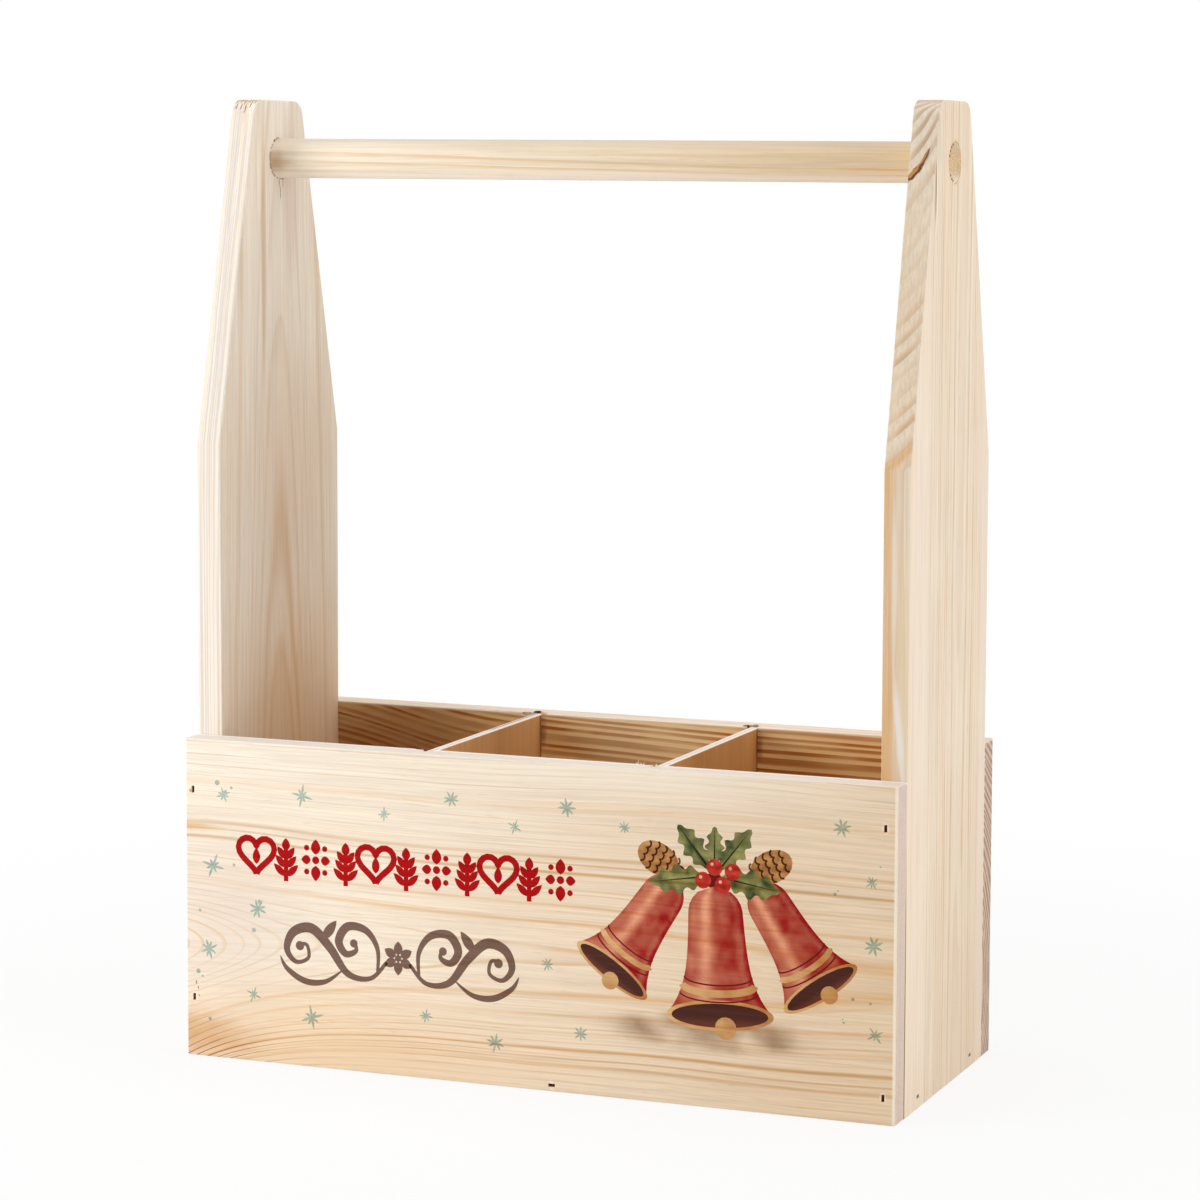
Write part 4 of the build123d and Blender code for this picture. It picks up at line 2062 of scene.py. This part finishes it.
@dataclass
class Studio:
    """The camera, the lamps, the white floor and the white surroundings, with places in metres."""

    lens: float = 104.797
    place: Place = (0.54420, -1.28405, 0.35377)
    yaw: float = 19.55
    pitch: float = 5.25
    roll: float = 0.47
    shift: Point = (-200 / 1200, -100 / 1200)
    floor_side: float = 30.0
    floor_level: float = -0.2 * MM
    floor_colour: tuple[float, float, float, float] = (0.9, 0.9, 0.9, 1.0)
    glow_near: float = 0.2
    glow_far: float = 0.6
    least_glow: float = 0.84
    ambient: float = 0.38
    lamps: tuple[Lamp, ...] = (
        Lamp("key", (-0.95, -0.80, 0.36), (-0.05, 0.0, 0.18), 0.7, 9.2),
        Lamp("fill", (1.6, -0.1, 0.5), (0.05, 0.0, 0.18), 0.9, 11.1),
        Lamp("top", (-0.1, 0.1, 1.6), (0.0, 0.0, 0.2), 1.2, 10.5),
    )

    def build(self) -> None:
        """Sets up the whole studio."""
        self.camera()
        for lamp in self.lamps:
            lamp.hang()
        self.floor()
        self.world()
        bpy.context.scene.view_settings.view_transform = "Standard"

    def camera(self) -> None:
        """Puts the camera where the photograph was taken from."""
        data = bpy.data.cameras.new("camera")
        data.lens = self.lens
        data.shift_x, data.shift_y = self.shift
        camera = bpy.data.objects.new("camera", data)
        turn = (Matrix.Rotation(math.radians(self.yaw), 4, "Z")
                @ Matrix.Rotation(math.radians(90 - self.pitch), 4, "X")
                @ Matrix.Rotation(math.radians(self.roll), 4, "Z"))
        camera.matrix_world = Matrix.Translation(self.place) @ turn
        bpy.context.collection.objects.link(camera)
        bpy.context.scene.camera = camera

    def floor(self) -> None:
        """Lays the white floor, which keeps a faint shadow of the carrier."""
        half = self.floor_side / 2
        mesh = bpy.data.meshes.new("floor")
        corners = [(x * half, y * half, self.floor_level) for x, y in ((-1, -1), (1, -1), (1, 1), (-1, 1))]
        mesh.from_pydata(corners, [], [(0, 1, 2, 3)])
        floor = bpy.data.objects.new("floor", mesh)
        bpy.context.collection.objects.link(floor)
        floor.data.materials.append(self.white_floor())

    def white_floor(self) -> bpy.types.Material:
        """The floor's paint: matt white, and to the camera it glows whiter away from the carrier.

        Returns:
            The material.
        """
        material = bpy.data.materials.new("white_floor")
        material.use_nodes = True
        tree = material.node_tree
        tree.nodes.clear()
        matt = tree.nodes.new("ShaderNodeBsdfDiffuse")
        matt.inputs["Color"].default_value = self.floor_colour
        glow = tree.nodes.new("ShaderNodeEmission")
        place = tree.nodes.new("ShaderNodeTexCoord")
        away = tree.nodes.new("ShaderNodeVectorMath")
        away.operation = "LENGTH"
        fade = tree.nodes.new("ShaderNodeMapRange")
        fade.interpolation_type = "SMOOTHSTEP"
        steps = (self.glow_near, self.glow_far, self.least_glow, 1.0)
        for socket, value in zip(list(fade.inputs)[1:5], steps):
            socket.default_value = value
        share = tree.nodes.new("ShaderNodeMath")
        share.operation = "MULTIPLY"
        mix = tree.nodes.new("ShaderNodeMixShader")
        output = tree.nodes.new("ShaderNodeOutputMaterial")
        tree.links.new(place.outputs["Object"], away.inputs[0])
        tree.links.new(away.outputs["Value"], fade.inputs[0])
        tree.links.new(fade.outputs[0], share.inputs[0])
        tree.links.new(self.looked_at(tree), share.inputs[1])
        tree.links.new(share.outputs[0], mix.inputs[0])
        tree.links.new(matt.outputs[0], mix.inputs[1])
        tree.links.new(glow.outputs[0], mix.inputs[2])
        tree.links.new(mix.outputs[0], output.inputs[0])
        return material

    def looked_at(self, tree: bpy.types.NodeTree) -> Socket:
        """Makes the share that is 1 where the camera, a gloss or a see-through thing looks.

        Args:
            tree: the nodes to add it to.

        Returns:
            The share, 0 or 1.
        """
        seen = tree.nodes.new("ShaderNodeLightPath")
        share = seen.outputs["Is Camera Ray"]
        for kind in ("Is Glossy Ray", "Is Transmission Ray"):
            either = tree.nodes.new("ShaderNodeMath")
            either.operation = "MAXIMUM"
            tree.links.new(share, either.inputs[0])
            tree.links.new(seen.outputs[kind], either.inputs[1])
            share = either.outputs[0]
        return share

    def world(self) -> None:
        """Surrounds the scene with soft light that the camera sees as white."""
        world = bpy.data.worlds.new("surroundings")
        bpy.context.scene.world = world
        world.use_nodes = True
        tree = world.node_tree
        tree.nodes.clear()
        soft = tree.nodes.new("ShaderNodeBackground")
        soft.inputs["Strength"].default_value = self.ambient
        white = tree.nodes.new("ShaderNodeBackground")
        for background in (soft, white):
            background.inputs["Color"].default_value = WHITE
        mix = tree.nodes.new("ShaderNodeMixShader")
        output = tree.nodes.new("ShaderNodeOutputWorld")
        tree.links.new(self.looked_at(tree), mix.inputs[0])
        tree.links.new(soft.outputs[0], mix.inputs[1])
        tree.links.new(white.outputs[0], mix.inputs[2])
        tree.links.new(mix.outputs[0], output.inputs[0])


def write_sizes() -> None:
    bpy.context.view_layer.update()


def main() -> None:
    """Builds and dresses every sub-assembly, then the studio."""
    logging.basicConfig(level=logging.INFO)
    for assembly in (LowBoards(), EndBoards(), Bottom(), Handle(), Dividers(), Brads()):
        assembly.build()
    Studio().build()
    write_sizes()


if __name__ == "__main__":
    main()
